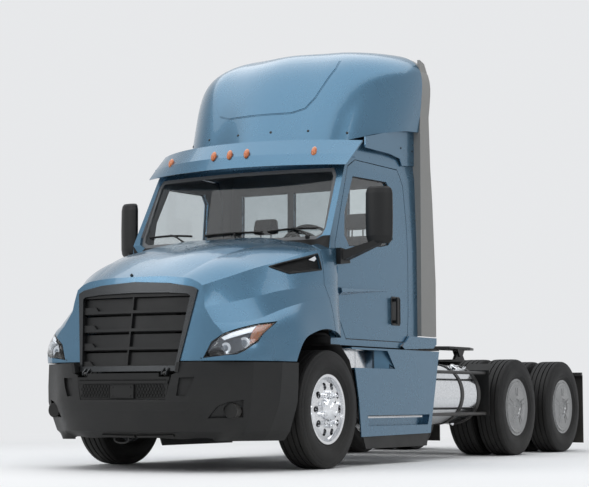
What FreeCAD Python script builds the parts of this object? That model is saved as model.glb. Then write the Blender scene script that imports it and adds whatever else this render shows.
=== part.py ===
# Day-cab highway tractor: a two-door cab on a ladder frame, with a tilting hood, a steered
# front axle, two driven axles on twin wheels and a coupling plate behind the cab.
# +Z is up, the front is towards -Y and +X is the vehicle's left. Millimetres.
# Stations along Y are measured back from the front axle while modelling; write() moves
# everything so that the origin lies on the ground under the middle of the vehicle.
import FreeCAD
import Part
import math
import os
from FreeCAD import Vector

os.makedirs("parts", exist_ok=True)

# Driving dimensions
FRONT_END = -1420.0
REAR_END = 5960.0
MID_Y = (FRONT_END + REAR_END) / 2
AXLE_Z = 508.0
TYRE_R = 508.0
TYRE_HALF = 145.0
BEAD_R = 292.0
FRONT_TRACK_X = 1040.0
KINGPIN_X = 850.0
DRIVE_AXLES = {"mid": 4030.0, "rear": 5350.0}
TWIN_OUTER_X = 1080.0
TWIN_INNER_X = 750.0
RAIL_X = 430.0
RAIL_TOP = 980.0
RAIL_DEEP = 268.0
RAIL_FLANGE = 90.0
RAIL_WALL = 9.0
FRAME_FRONT = -1000.0
FRAME_REAR = 5900.0
CAB_WALL = 50.0
CAB_REAR = 1900.0
CAB_FLOOR = 1130.0
CAB_TOP = 2946.0
CAB_SIDE = 1080.0
DOOR_FRONT = 300.0
DOOR_REAR = 1650.0
DOOR_TOP = 2765.0
DOOR_GAP = 8.0
HINGE_X = 1085.0
HINGE_R = 8.0
HINGE_LEVELS = (1440.0, 1700.0)
HINGE_TALL = 60.0
MIRROR_YAW = 20.0
HOOD_REAR = 95.0
HOOD_WALL = 14.0
HOOD_HINGE = (-1368.0, 803.0)
ARCH_R = 680.0
BUMPER_TOP = 895.0
BUMPER_WALL = 24.0
ROOF_TOP = 3960.0
SKIRT_X = 1130.0
TANK_R = 300.0
TANK_X = 800.0
TANK_Z = 640.0
COUPLER_Y = 4300.0
COUPLER_TOP = 1165.0
COUPLER_PIVOT = 1085.0


def write(name, shapes):
    """Export one sub-part, moved from front-axle stations to the middle of the vehicle."""
    shapes = shapes if isinstance(shapes, list) else [shapes]
    solids = [solid for shape in shapes for solid in shape.Solids]
    out = solids[0].copy() if len(solids) == 1 else Part.makeCompound(solids)
    out.translate(Vector(0, -MID_Y, 0))
    out.exportStep("parts/" + name + ".step")


def mirrored(shape):
    """The same shape on the vehicle's other side."""
    return shape.mirror(Vector(0, 0, 0), Vector(1, 0, 0))


def both(shape):
    """A shape and its mirror image."""
    return [shape, mirrored(shape)]


def block(x0, x1, y0, y1, z0, z1):
    """A box between two corners."""
    return Part.makeBox(x1 - x0, y1 - y0, z1 - z0, Vector(x0, y0, z0))


def rod_x(radius, x0, x1, y, z):
    """A round bar along X."""
    return Part.makeCylinder(radius, x1 - x0, Vector(x0, y, z), Vector(1, 0, 0))


def rod_y(radius, x, y0, y1, z):
    """A round bar along Y."""
    return Part.makeCylinder(radius, y1 - y0, Vector(x, y0, z), Vector(0, 1, 0))


def rod_z(radius, x, y, z0, z1):
    """An upright round bar."""
    return Part.makeCylinder(radius, z1 - z0, Vector(x, y, z0), Vector(0, 0, 1))


def face(points):
    """A flat face through 3-D points."""
    return Part.Face(Part.makePolygon([Vector(*p) for p in points] + [Vector(*points[0])]))


def side_plate(outline, x0, x1):
    """A (y, z) outline given thickness along X."""
    return face([(x0, y, z) for y, z in outline]).extrude(Vector(x1 - x0, 0, 0))


def front_plate(outline, y0, y1):
    """An (x, z) outline given thickness along Y."""
    return face([(x, y0, z) for x, z in outline]).extrude(Vector(0, y1 - y0, 0))


def plan_plate(outline, z0, z1):
    """An (x, y) outline given thickness along Z."""
    return face([(x, y, z0) for x, y in outline]).extrude(Vector(0, 0, z1 - z0))


def spline(points):
    """One smooth edge through 3-D points."""
    curve = Part.BSplineCurve()
    curve.interpolate([Vector(*p) for p in points])
    return curve.toShape()


def ring_face(edges):
    """A flat face inside edges given in order."""
    return Part.Face(Part.Wire(edges))


def turned(profile, x, y=0.0, z=AXLE_Z):
    """An (offset along X, radius) profile turned about a wheel axis."""
    ring = face([(x + dx, y, z + r) for dx, r in profile])
    return ring.revolve(Vector(x, y, z), Vector(1, 0, 0), 360)


def fused(shapes):
    """One solid out of several that touch."""
    return shapes[0].multiFuse(shapes[1:]).removeSplitter()


def pipe(points, radius, bend):
    """A round bar through points, with an arc of the given radius at every corner."""
    path = [Vector(*p) for p in points]
    edges = []
    start = path[0]
    for before, corner, after in zip(path, path[1:], path[2:]):
        back = (before - corner).normalize()
        ahead = (after - corner).normalize()
        turn = back.getAngle(ahead)
        reach = bend / math.tan(turn / 2)
        first = corner + back * reach
        last = corner + ahead * reach
        middle_dir = (back + ahead).normalize()
        middle = corner + middle_dir * (bend / math.sin(turn / 2) - bend)
        edges.append(Part.LineSegment(start, first).toShape())
        edges.append(Part.Arc(first, middle, last).toShape())
        start = last
    edges.append(Part.LineSegment(start, path[-1]).toShape())
    run = Part.Wire(edges)
    ring = Part.Wire(Part.makeCircle(radius, path[0], path[1] - path[0]))
    return run.makePipeShell([ring], True, True)


def bowed_plan(z, middle_y, corner_x, corner_y, rear_x, rear_y):
    """A plan outline at one height: bowed front, straight sides and a flat rear."""
    left = Vector(corner_x, corner_y, z)
    right = Vector(-corner_x, corner_y, z)
    front = Part.Arc(right, Vector(0, middle_y, z), left).toShape()
    rear_left = Vector(rear_x, rear_y, z)
    rear_right = Vector(-rear_x, rear_y, z)
    return Part.Wire([front, Part.makeLine(left, rear_left), Part.makeLine(rear_left, rear_right),
                      Part.makeLine(rear_right, right)])


# Cab

def cab_block(inset=0.0):
    """The cab's outer form, or its inner space when inset by the wall thickness."""
    rear = CAB_REAR - inset
    low = CAB_FLOOR - 60 if inset == 0 else CAB_FLOOR
    stations = [(low, 165, 1075, 195, 1080), (2030, 160, 1062, 210, 1075),
                (2700, 405, 1020, 560, 1055), (2860, 500, 1000, 660, 1035),
                (CAB_TOP - inset, 570, 985, 730, 1020)]
    wires = [bowed_plan(z, mid + inset, x - inset, y + inset, rx - inset, rear)
             for z, mid, x, y, rx in stations]
    return Part.makeLoft(wires, True, True)


def cab_walls():
    return cab_block().cut(cab_block(CAB_WALL))


DOOR_LINE = [(DOOR_FRONT, 1980), (296, 1753), (300, 1520), (345, 1324), (471, 1132), (1590, 1132),
             (1680, 1200), (1700, 1402), (1705, 1890), (1690, 2280), (1650, 2620), (1560, DOOR_TOP),
             (760, DOOR_TOP), (612, 2692)]
WINDOW_LINE = [(470, 2050), (500, 2270), (690, 2610), (1330, 2626), (1400, 2540), (1390, 2130),
               (1330, 2030), (1170, 2000), (556, 1960)]


def grown(outline, by):
    """An outline pushed out all round by one distance."""
    flat = Part.makePolygon([Vector(y, z, 0) for y, z in outline + outline[:1]])
    wider = Part.Face(flat).makeOffset2D(by, 2)
    points = [v.Point for v in wider.OuterWire.OrderedVertexes]
    return [(p.x, p.y) for p in points]


def hinge_room():
    """Space round the left door's hinge barrels and their tabs."""
    return [block(1000, 1150, DOOR_FRONT - HINGE_R - 7, DOOR_FRONT + 60, z - 7, z + HINGE_TALL + 7)
            for z in HINGE_LEVELS]


def door_panel(walls):
    """The left door: a stretch of the cab's own wall with window, swage blade and hinge barrels."""
    cutter = side_plate(DOOR_LINE, 900, 1200)
    window = side_plate(WINDOW_LINE, 900, 1200)
    front = Part.makePolygon([Vector(*p) for p in ((1060, 340, 1500), (1112, 340, 1535), (1104, 340, 1572),
                                                   (1060, 340, 1580), (1060, 340, 1500))])
    rear = Part.makePolygon([Vector(*p) for p in ((1060, 1290, 1588), (1076, 1290, 1597), (1075, 1290, 1602),
                                                  (1060, 1290, 1606), (1060, 1290, 1588))])
    blade = Part.makeLoft([front, rear], True, True)
    barrels = []
    for z in HINGE_LEVELS:
        barrels.append(rod_z(HINGE_R, HINGE_X, DOOR_FRONT, z, z + HINGE_TALL))
        barrels.append(block(1040, HINGE_X, DOOR_FRONT - 4, DOOR_FRONT + 30, z, z + HINGE_TALL))
    return fused([walls.common(cutter).cut(window), blade] + barrels)


def door_glass(walls):
    pane = walls.common(side_plate(WINDOW_LINE, 900, 1200))
    outer = pane.copy()
    outer.translate(Vector(-22, 0, 0))
    inner = pane.copy()
    inner.translate(Vector(22, 0, 0))
    return outer.common(inner)


def door_handle():
    """An upright pull handle standing off the door on two feet."""
    bar = block(1112, 1130, 1375, 1415, 1290, 1540)
    bar = bar.makeFillet(8, bar.Edges)
    feet = [block(1050, 1116, 1380, 1410, z, z + 28) for z in (1300, 1502)]
    return fused([bar] + feet).cut(cab_block())


def mirror():
    """The left mirror: a foot on the door's front corner, an arm and a tall, shallow housing."""
    foot = side_plate([(DOOR_FRONT + 12, 1780), (DOOR_FRONT + 12, 1925), (470, 1915), (490, 1800)],
                      1050, 1112)
    low = [(1100, 345, 1812), (1100, 345, 1900), (1100, 450, 1900), (1100, 450, 1812), (1100, 345, 1812)]
    high = [(1375, 530, 1962), (1375, 530, 2012), (1375, 590, 2012), (1375, 590, 1962), (1375, 530, 1962)]
    arm = Part.makeLoft([Part.makePolygon([Vector(*p) for p in end]) for end in (low, high)], True, True)
    wires = []
    for z, half, deep in ((1972, 84, 22), (1992, 106, 34), (2040, 118, 42), (2220, 121, 46), (2420, 119, 44),
                          (2462, 108, 36), (2480, 88, 24)):
        front = Part.Arc(Vector(-half, 6, z), Vector(0, -deep, z), Vector(half, 6, z)).toShape()
        corners = [Vector(half, 6, z), Vector(half, 34, z), Vector(-half, 34, z), Vector(-half, 6, z)]
        sides = [Part.makeLine(a, b) for a, b in zip(corners, corners[1:])]
        wires.append(Part.Wire([front] + sides))
    housing = Part.makeLoft(wires, True, True)
    housing = housing.cut(block(-104, 104, 28, 40, 2000, 2455))
    housing.rotate(Vector(0, 0, 0), Vector(0, 0, 1), MIRROR_YAW)
    housing.translate(Vector(1371, 548, 0))
    return fused([foot, arm, housing]).cut(cab_block())


def cab_shell(walls):
    """Cab walls with the door openings, windscreen and three rear windows cut out."""
    opening = side_plate(grown(DOOR_LINE, DOOR_GAP), 900, 1200)
    opening = opening.multiFuse(hinge_room())
    screen = front_plate(SCREEN_LINE, -100, 780)
    shell = walls.cut(opening).cut(mirrored(opening)).cut(screen)
    for x0, x1 in REAR_PANES:
        shell = shell.cut(block(x0, x1, CAB_REAR - 120, CAB_REAR + 20, 2130, 2660))
    plinth = side_plate([(1578, 1062), (1527, 1086), (1644, 1186), (2269, 1186), (2268, 1126), (2198, 1084)],
                        1040, 1105)
    return fused([shell] + both(plinth.cut(cab_block(CAB_WALL)).cut(opening)))


SCREEN_LINE = [(-920, 2000), (920, 2000), (985, 2040), (1000, 2110), (972, 2600), (935, 2672), (-935, 2672),
               (-972, 2600), (-1000, 2110), (-985, 2040)]
REAR_PANES = ((-880, -340), (-270, 270), (340, 880))


def screen_sheet(depth):
    """The windscreen's curved surface, as the front of a solid at some depth behind the cab's front."""
    low = bowed_plan(1960, 165 + depth, 1062, 212 + depth, 1062, 900)
    high = bowed_plan(2700, 405 + depth, 1020, 560 + depth, 1020, 900)
    return Part.makeLoft([low, high], True, True)


def cab_glass():
    """Curved windscreen inside its seal, and flat rear panes."""
    opening = front_plate(grown(SCREEN_LINE, -32), -100, 780)
    screen = screen_sheet(14).cut(screen_sheet(22)).common(opening)
    panes = [block(x0, x1, CAB_REAR - 30, CAB_REAR - 24, 2130, 2660) for x0, x1 in REAR_PANES]
    return [max(screen.Solids, key=lambda s: s.Volume)] + panes


def screen_seal():
    """Broad rubber seal round the windscreen, filling the cab's opening to the glass."""
    ring = front_plate(SCREEN_LINE, -100, 780).cut(front_plate(grown(SCREEN_LINE, -32), -100, 780))
    seal = screen_sheet(2).cut(screen_sheet(40)).common(ring)
    return max(seal.Solids, key=lambda s: s.Volume)


def dashboard():
    """Instrument panel across the cab, steering column and wheel on the left."""
    panel = side_plate([(225, 1560), (225, 1990), (300, 2010), (470, 1960), (560, 1820), (520, 1600)],
                       -1000, 1000)
    column = Part.makeCylinder(32, 330, Vector(520, 440, 1740), Vector(0, 0.78, 0.62))
    hub = Vector(520, 440 + 330 * 0.78, 1740 + 330 * 0.62)
    wheel = Part.makeTorus(215, 17, hub, Vector(0, 0.78, 0.62))
    spokes = []
    for angle in (90, 210, 330):
        spoke = Part.makeCylinder(13, 205, hub, Vector(math.cos(math.radians(angle)),
                                                       -0.62 * math.sin(math.radians(angle)),
                                                       0.78 * math.sin(math.radians(angle))))
        spokes.append(spoke)
    panel = panel.common(cab_block(CAB_WALL + 6))
    return fused([panel, column, wheel] + spokes)


def seat(x):
    """A high-backed seat on its pedestal."""
    base = block(x - 190, x + 190, 1150, 1560, CAB_FLOOR, 1500)
    cushion = block(x - 255, x + 255, 1060, 1580, 1490, 1640)
    cushion = cushion.makeFillet(45, [e for e in cushion.Edges if abs(e.BoundBox.ZMax - 1640) < 1])
    back = side_plate([(1540, 1600), (1680, 1600), (1790, 2330), (1770, 2420), (1690, 2420),
                       (1650, 2330)], x - 230, x + 230)
    return fused([base, cushion, back])


def sun_visor():
    """Bowed band over the windscreen, standing off it on two end brackets."""
    def band(back):
        return Part.makeLoft([bowed_plan(2690, 182 + back, 1076, 476 + back, 1076, 900),
                              bowed_plan(2800, 222 + back, 1086, 600 + back, 1086, 900),
                              bowed_plan(2945, 338 + back, 1090, 768 + back, 1090, 900)], True, True)
    skin = band(0).cut(band(22))
    skin = skin.cut(block(-1200, 1200, 775, 1000, 2600, 3000))
    ends = both(block(1000, 1082, 588, 660, 2775, 2800))
    return fused([skin] + ends).cut(cab_block())


def marker_lamps(visor):
    """Five tall oval lenses on the visor's face."""
    lamps = []
    for x, y in ((0, 226), (-178, 234), (178, 234), (-780, 420), (780, 420)):
        body = Part.makeSphere(50, Vector(0, 0, 0))
        squeeze = FreeCAD.Matrix(0.52, 0, 0, x, 0, 0.52, 0.3, y, 0, 0, 0.92, 2822)
        body = body.transformGeometry(squeeze)
        lamps.append(max(body.cut(visor).Solids, key=lambda s: -s.BoundBox.YMin))
    return lamps


FAIRING_LEVELS = [(CAB_TOP, 590, 1088), (3180, 680, 1105), (3450, 800, 1135), (3700, 965, 1145),
                  (3850, 1150, 1100), (3925, 1300, 1020), (ROOF_TOP, 1500, 930)]


def fairing_form(inset):
    """Roof fairing: a leaning front with wide round corners, risen to the top edge behind the cab."""
    wires = []
    for z, middle, side in FAIRING_LEVELS:
        level = z - inset if z == ROOF_TOP else z
        level = level - 80 if z == CAB_TOP and inset else level
        half = []
        for turn in (0, 15, 32, 50, 68, 82, 90):
            angle = math.radians(turn)
            half.append((side - 640 + (640 - inset) * math.sin(angle),
                         middle + 1000 + inset * 0.4 - (930 - inset) * math.cos(angle)))
        front = [(-x, y, level) for x, y in reversed(half)] + [(0, middle + inset * 1.4, level)]
        front += [(x, y, level) for x, y in half]
        end = 2700
        corners = [Vector(*front[-1]), Vector(side - inset, end, level), Vector(inset - side, end, level),
                   Vector(*front[0])]
        wires.append(Part.Wire([spline(front)] + [Part.makeLine(a, b) for a, b in zip(corners, corners[1:])]))
    return Part.makeLoft(wires, True, False)


def roof_fairing():
    """Hollow fairing, open to the rear, with its curved lower edge and the cheeks over the cab roof."""
    rear = block(-1300, 1300, CAB_REAR, 3000, 2800, 4100)
    form = fairing_form(0).cut(rear)
    shell = form.cut(fairing_form(26))
    edge = [(CAB_REAR + 100, 3180), (1602, 3145), (1178, 3066), (932, 2995), (792, 2946), (300, 2946)]
    below = side_plate([(300, 2700), (CAB_REAR + 100, 2700)] + edge, -1300, 1300)
    ledge = side_plate(edge + [(y, z + 20) for y, z in reversed(edge)], -1300, 1300)
    cheek = side_plate([(900, 3000), (1602, 3160), (CAB_REAR, 3190), (CAB_REAR, 2842), (1641, 2818),
                        (1600, 2880), (1385, 2903), (900, 2900)], 1040, 1052)
    body = fused([shell, form.common(ledge)]).cut(below)
    return fused([body] + both(cheek)).cut(cab_block())


def side_extender():
    """Grey strip that carries the cab's side line back towards the trailer."""
    strip = side_plate([(CAB_REAR, 1195), (2227, 1195), (2223, 1720), (2159, 2520), (2119, 2860), (2092, 3320),
                        (2088, 3640), (2060, 3780), (2000, 3860), (CAB_REAR, 3885)], 1096, 1122)
    flange = block(1010, 1122, CAB_REAR, CAB_REAR + 16, 1195, 3500)
    return fused([strip, flange])


# Hood

HOOD_STATIONS = [
    (-1400, [(0, 1430), (250, 1425), (430, 1405), (530, 1385), (590, 1350), (600, 1290), (602, 1250),
             (602, 1180), (600, 1040), (598, 905)]),
    (-1270, [(0, 1575), (250, 1568), (430, 1548), (540, 1520), (615, 1480), (632, 1390), (640, 1320),
             (662, 1220), (740, 1060), (790, 905)]),
    (-1110, [(0, 1680), (300, 1668), (460, 1640), (570, 1610), (665, 1545), (705, 1440), (730, 1365),
             (868, 1215), (985, 1080), (1005, 905)]),
    (-900, [(0, 1785), (350, 1772), (500, 1738), (640, 1700), (770, 1620), (830, 1500), (875, 1415),
            (1000, 1250), (1105, 1110), (1115, 905)]),
    (-600, [(0, 1890), (400, 1876), (550, 1838), (720, 1795), (880, 1715), (955, 1590), (1020, 1495),
            (1085, 1350), (1185, 1180), (1190, 905)]),
    (-250, [(0, 1972), (450, 1958), (610, 1922), (800, 1890), (975, 1815), (1045, 1690), (1095, 1552),
            (1130, 1430), (1195, 1250), (1198, 905)]),
    (0, [(0, 2015), (500, 2000), (650, 1968), (850, 1940), (1040, 1880), (1090, 1740), (1112, 1582),
         (1135, 1475), (1195, 1270), (1198, 905)]),
    (165, [(0, 2045), (540, 2030), (680, 2000), (880, 1970), (1060, 1905), (1095, 1770), (1114, 1585),
           (1128, 1500), (1172, 1290), (1185, 905)]),
    (300, [(0, 2062), (540, 2048), (680, 2018), (880, 1988), (1050, 1950), (1078, 1800), (1090, 1588),
           (1100, 1515), (1105, 1290), (1120, 905)])]
HOOD_STRIPS = ((2, 3, 4), (4, 5, 6), (6, 7), (7, 8, 9))
SEAM = [(40, 1120), (44, 1333), (52, 1471), (10, 1589), (20, 1730), (38, 1844), (60, 1900), (HOOD_REAR, 1950)]
ARCH = [(-590, 880), (-566, 1000), (-504, 1085), (-353, 1148), (-130, 1190), (99, 1164), (316, 1066), (420, 980)]


def section_wire(y, half, inset):
    """One cross-section: a crowned top and, on each side, strips that meet at the body's creases."""
    last = len(half) - 1
    points = [(x - inset if x else 0.0, z - (0 if i == last else inset)) for i, (x, z) in enumerate(half)]
    if inset:
        points[last] = (points[last][0], points[last][1] - 60)
    crown = [(-x, y, z) for x, z in reversed(points[1:3])] + [(x, y, z) for x, z in points[:3]]
    left = [[(points[i][0], y, points[i][1]) for i in strip] for strip in HOOD_STRIPS]
    right = [[(-x, py, z) for x, py, z in reversed(strip)] for strip in reversed(left)]
    edges = [spline(strip) for strip in right + [crown] + left]
    foot = Part.makeLine(Vector(*left[-1][-1]), Vector(*right[0][0]))
    return Part.Wire(edges + [foot])


def nose_form(depth):
    """Space behind the hood's bowed, leaning front face."""
    wires = []
    for z in (780, 2300):
        front = GRILLE_FOOT + 14 + (z - GRILLE_OUT[0][1]) * GRILLE_LEAN + depth
        wires.append(bowed_plan(z, front, 1300, front + 262, 1300, 700))
    return Part.makeLoft(wires, True, True)


def hood_form(inset):
    """The hood, fenders and cowl as one form, or its inner space when inset."""
    loft = Part.makeLoft([section_wire(y, half, inset) for y, half in HOOD_STATIONS], True, False)
    return loft.common(nose_form(inset))


GRILLE_OUT = [(-490, 822), (490, 822), (607, 1486), (560, 1514), (340, 1550), (0, 1568), (-340, 1550),
              (-560, 1514), (-607, 1486)]
GRILLE_IN = [(-471, 866), (471, 866), (547, 1440), (520, 1456), (340, 1470), (0, 1476), (-340, 1470),
             (-520, 1456), (-547, 1440)]
LAMP_LINE = [(700, 925), (960, 955), (1010, 985), (1075, 1055), (1098, 1235), (1035, 1215), (860, 1130),
             (760, 1060)]
VENT_LINE = [(-560, 1708), (-400, 1658), (-12, 1712), (-6, 1846)]


def body_forms():
    """The outer form, its inner space, and the wheel arches cut through both."""
    top = spline([(500, y, z) for y, z in ARCH])
    base = [Vector(500, ARCH[-1][0], ARCH[-1][1]), Vector(500, ARCH[-1][0], 600), Vector(500, ARCH[0][0], 600),
            Vector(500, ARCH[0][0], ARCH[0][1])]
    arch = ring_face([top] + [Part.makeLine(a, b) for a, b in zip(base, base[1:])]).extrude(Vector(900, 0, 0))
    outer = hood_form(0).cut(arch).cut(mirrored(arch))
    return outer, hood_form(HOOD_WALL)


def hood_shell(outer, inner):
    """Hood skin up to the cowl seam, with openings for the grille, lamps and side vents."""
    behind = side_plate(SEAM + [(HOOD_REAR, 2200), (500, 2200), (500, 880), (40, 880)], -1300, 1300)
    shell = outer.cut(inner).cut(behind).cut(front_plate(GRILLE_OUT, -1500, -1050))
    for sign in (1, -1):
        shell = shell.cut(front_plate([(sign * x, z) for x, z in LAMP_LINE], -1500, -500))
        shell = shell.cut(side_plate(VENT_LINE, min(sign * 700, sign * 1300), max(sign * 700, sign * 1300)))
    return max(shell.Solids, key=lambda s: s.Volume)


def hood_vents(inner):
    """Mesh panels just under the hood's side vents, lapped behind the skin."""
    skin = inner.cut(hood_form(HOOD_WALL + 8))
    panels = []
    for sign in (1, -1):
        lap = side_plate(grown(VENT_LINE, 14), min(sign * 700, sign * 1300), max(sign * 700, sign * 1300))
        panels.append(max(skin.common(lap).Solids, key=lambda s: s.Volume))
    return panels


def cowl_sides(outer):
    """Fixed panels between the hood's seam and the doors, flush with both."""
    front = [(y + 6, z) for y, z in SEAM[:-1]] + [(HOOD_REAR + 8, 1946)]
    door = [(DOOR_FRONT - DOOR_GAP, 1975), (288, 1753), (292, 1520), (334, 1322), (430, 1138)]
    band = side_plate(front + door, 940, 1300)
    panel = outer.common(band).cut(hood_form(40)).cut(cab_block())
    for room in hinge_room():
        panel = panel.cut(room)
    return both(max(panel.Solids, key=lambda s: s.Volume))


def headlamps():
    """Lens bodies that fill the lamp openings, 2 mm under the skin."""
    lens = hood_form(2).cut(hood_form(40))
    return [max(lens.common(front_plate([(sign * x, z) for x, z in LAMP_LINE], -1500, -500)).Solids,
                key=lambda s: s.Volume) for sign in (1, -1)]


GRILLE_FOOT = -1362.0
GRILLE_LEAN = 0.157


def grille_slab(back, thick):
    """A leaning bowed layer at some depth behind the grille's face."""
    def form(depth):
        wires = []
        for z in (800, 1500):
            front = GRILLE_FOOT + (z - GRILLE_OUT[0][1]) * GRILLE_LEAN + depth
            wires.append(bowed_plan(z, front, 640, front + 62, 640, -900))
        return Part.makeLoft(wires, True, True)
    return form(back).cut(form(back + thick))


def grille_frame():
    """Bowed, leaning surround with the opening cut through, and the two hood hinge lugs."""
    band = front_plate(GRILLE_OUT, -1500, -1100).cut(front_plate(GRILLE_IN, -1500, -1100))
    band = band.common(grille_slab(0, 60))
    hinge_y, hinge_z = HOOD_HINGE
    pieces = [band]
    for side in (-1, 1):
        for x in (side * 400 - 26, side * 400 + 16):
            pieces.append(side_plate([(hinge_y - 12, hinge_z - 10), (hinge_y + 12, hinge_z - 10),
                                      (hinge_y + 60, 840), (hinge_y + 30, 850), (hinge_y - 12, hinge_z + 12)],
                                     x, x + 10))
        pieces.append(rod_x(9, side * 400 - 20, side * 400 + 20, hinge_y, hinge_z))
    return fused(pieces)


def grille_bars():
    """Five swept slats with stepped ends, a centre rib and the leaning louvres behind them."""
    layer = grille_slab(18, 34)
    opening = front_plate(GRILLE_IN, -1500, -1050)
    bars = [block(-7, 7, -1500, -1050, 860, 1480)]
    for step in range(4):
        z = 850 + step * 152
        bars.append(front_plate([(-600, z), (600, z), (600, z + 58), (400, z + 58), (365, z + 24),
                                 (-365, z + 24), (-400, z + 58), (-600, z + 58)], -1500, -1050))
    bars.append(block(-600, 600, -1500, -1050, 1440, 1480))
    slats = [layer.common(bar).common(opening) for bar in bars]
    louvres = grille_slab(46, 12).common(opening)
    for step in range(4):
        z = 850 + step * 152
        louvres = louvres.cut(block(-600, 600, -1500, -1050, z + 128, z + 144))
    return fused(slats + louvres.Solids)


# Bumper

def bumper_plan(z, front, corner, side, end, inset):
    """Plan outline of the bumper at one height: a swept face to the crease, then the side."""
    face_points = [(0, front), (260, front + 6), (480, front + 30), (700, front + 105),
                   (corner[0] - 165, corner[1] - 125), corner]
    half = [(x - inset * (0.75 if x > 900 else 0.5) if x else 0, y + inset, z) for x, y in face_points]
    swept = spline([(-x, y, level) for x, y, level in reversed(half[1:])] + half)
    left = [Vector(*half[-1]), Vector(side[0] - inset, side[1] + inset * 0.4, z),
            Vector(end[0] - inset, end[1] + inset * 3, z)]
    right = [Vector(-p.x, p.y, z) for p in reversed(left)]
    loop = left + right
    return Part.Wire([swept] + [Part.makeLine(a, b) for a, b in zip(loop, loop[1:])])


def bumper_form(inset):
    stations = [(255, -1190, (900, -980), (1010, -830), (1100, -640)),
                (330, -1330, (960, -1030), (1075, -830), (1145, -625)),
                (500, -1405, (1020, -1050), (1140, -820), (1185, -600)),
                (570, FRONT_END, (1040, -1052), (1160, -815), (1197, -590)),
                (700, -1416, (1048, -1048), (1172, -810), (1200, -580)),
                (BUMPER_TOP, -1395, (1050, -1040), (1178, -800), (1200, -575))]
    wires = []
    for z, front, corner, side, end in stations:
        level = z - inset if z == 255 else z + inset if z == BUMPER_TOP else z
        wires.append(bumper_plan(level, front, corner, side, end, inset))
    return Part.makeLoft(wires, True, True)


AIR_SLOT = [(540, 768), (662, 774), (640, 700), (596, 616), (524, 622)]
FOG_POCKET = [(740, 440), (812, 534), (880, 570), (985, 590), (968, 448)]


def bumper():
    """Moulded bumper with its mouth, two blind air slots and two lamp pockets."""
    mouth = front_plate([(-430, 590), (430, 590), (475, 790), (530, 815), (545, 1000), (-545, 1000),
                         (-530, 815), (-475, 790)], -1500, -1000)
    outer = bumper_form(0)
    shell = outer.cut(bumper_form(BUMPER_WALL)).cut(mouth)
    backing = bumper_form(BUMPER_WALL - 4).cut(bumper_form(BUMPER_WALL + 14))
    for line in (AIR_SLOT, FOG_POCKET):
        for sign in (1, -1):
            shell = shell.cut(front_plate([(sign * x, z) for x, z in line], -1500, -900))
            patch = backing.common(front_plate([(sign * x, z) for x, z in grown(line, 14)], -1500, -900))
            shell = shell.fuse(max(patch.Solids, key=lambda s: s.Volume))
    for side in (-1, 1):
        shell = shell.cut(rod_y(62, side * 900, -1300, -900, 500))
    return max(shell.removeSplitter().Solids, key=lambda s: s.Volume)


def bumper_mesh():
    """Mesh panel that fills the bumper's mouth, with its middle bar and a blank holder for a plate."""
    panel = front_plate([(-429, 592), (429, 592), (466, 775), (360, 775), (360, 806), (-360, 806), (-360, 775),
                         (-466, 775)], -1392, -1376)
    bar = front_plate([(-452, 722), (452, 722), (458, 744), (-458, 744)], -1402, -1390)
    holder = block(-125, 125, -1406, -1390, 600, 714)
    return fused([panel, bar, holder])


def fog_lamps():
    return both(rod_y(61.5, 900, -1150, -1080, 500).cut(rod_y(50, 900, -1155, -1135, 500)))


# Frame and running gear

def rail():
    outer = block(RAIL_X - RAIL_FLANGE, RAIL_X, FRAME_FRONT, FRAME_REAR, RAIL_TOP - RAIL_DEEP, RAIL_TOP)
    inner = block(RAIL_X - RAIL_FLANGE - 5, RAIL_X - RAIL_WALL, FRAME_FRONT - 5, FRAME_REAR + 5,
                  RAIL_TOP - RAIL_DEEP + RAIL_WALL, RAIL_TOP - RAIL_WALL)
    return outer.cut(inner)


def crossmembers():
    members = []
    half = RAIL_X - RAIL_WALL
    for y in (-960, 2450, 3400, 4700, 5860):
        members.append(block(-half, half, y, y + 40, RAIL_TOP - 230, RAIL_TOP - 40))
    ears = []
    hinge_y, hinge_z = HOOD_HINGE
    for side in (-1, 1):
        x = side * 400
        arm = side_plate([(-945, 755), (-945, 830), (hinge_y + 70, hinge_z - 8), (hinge_y, hinge_z + 15),
                          (hinge_y - 15, hinge_z), (hinge_y, hinge_z - 15), (hinge_y + 70, hinge_z - 40)],
                         x - 10, x + 10)
        ears.append(arm.cut(rod_x(9.3, x - 12, x + 12, hinge_y, hinge_z)))
    return [fused([members[0]] + ears)] + members[1:]


def front_axle():
    """Dropped I-beam between the kingpin eyes."""
    beam = front_plate([(-820, 470), (-600, 470), (-480, 400), (480, 400), (600, 470), (820, 470),
                        (820, 545), (600, 545), (470, 475), (-470, 475), (-600, 545), (-820, 545)], -48, 48)
    web = front_plate([(-560, 500), (-460, 420), (460, 420), (560, 500), (455, 458), (-455, 458)], 16, 60)
    eyes = [rod_z(50, side * KINGPIN_X, 0, 445, 570) for side in (-1, 1)]
    beam = fused([beam] + eyes)
    beam = beam.cut(web)
    web.translate(Vector(0, -76, 0))
    beam = beam.cut(web)
    for side in (-1, 1):
        beam = beam.cut(rod_z(24.3, side * KINGPIN_X, 0, 400, 620))
    return beam


def knuckle():
    """Left steering knuckle: forked round the axle eye, with spindle, backing plate and arm."""
    pin = rod_z(24, KINGPIN_X, 0, 385, 630)
    yoke = fused([rod_z(48, KINGPIN_X, 0, 385, 438), rod_z(48, KINGPIN_X, 0, 577, 630),
                  block(KINGPIN_X, KINGPIN_X + 88, -46, 46, 385, 630)])
    yoke = yoke.cut(rod_z(57, KINGPIN_X, 0, 438, 577)).cut(block(KINGPIN_X - 5, KINGPIN_X + 32, -50, 50, 438, 577))
    spindle = rod_x(40, KINGPIN_X + 60, 1095, 0, AXLE_Z)
    plate = rod_x(205, KINGPIN_X + 86, KINGPIN_X + 94, 0, AXLE_Z)
    arm = block(KINGPIN_X - 40, KINGPIN_X + 20, 30, 250, 385, 415)
    return fused([pin, yoke, spindle, plate, arm])


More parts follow.
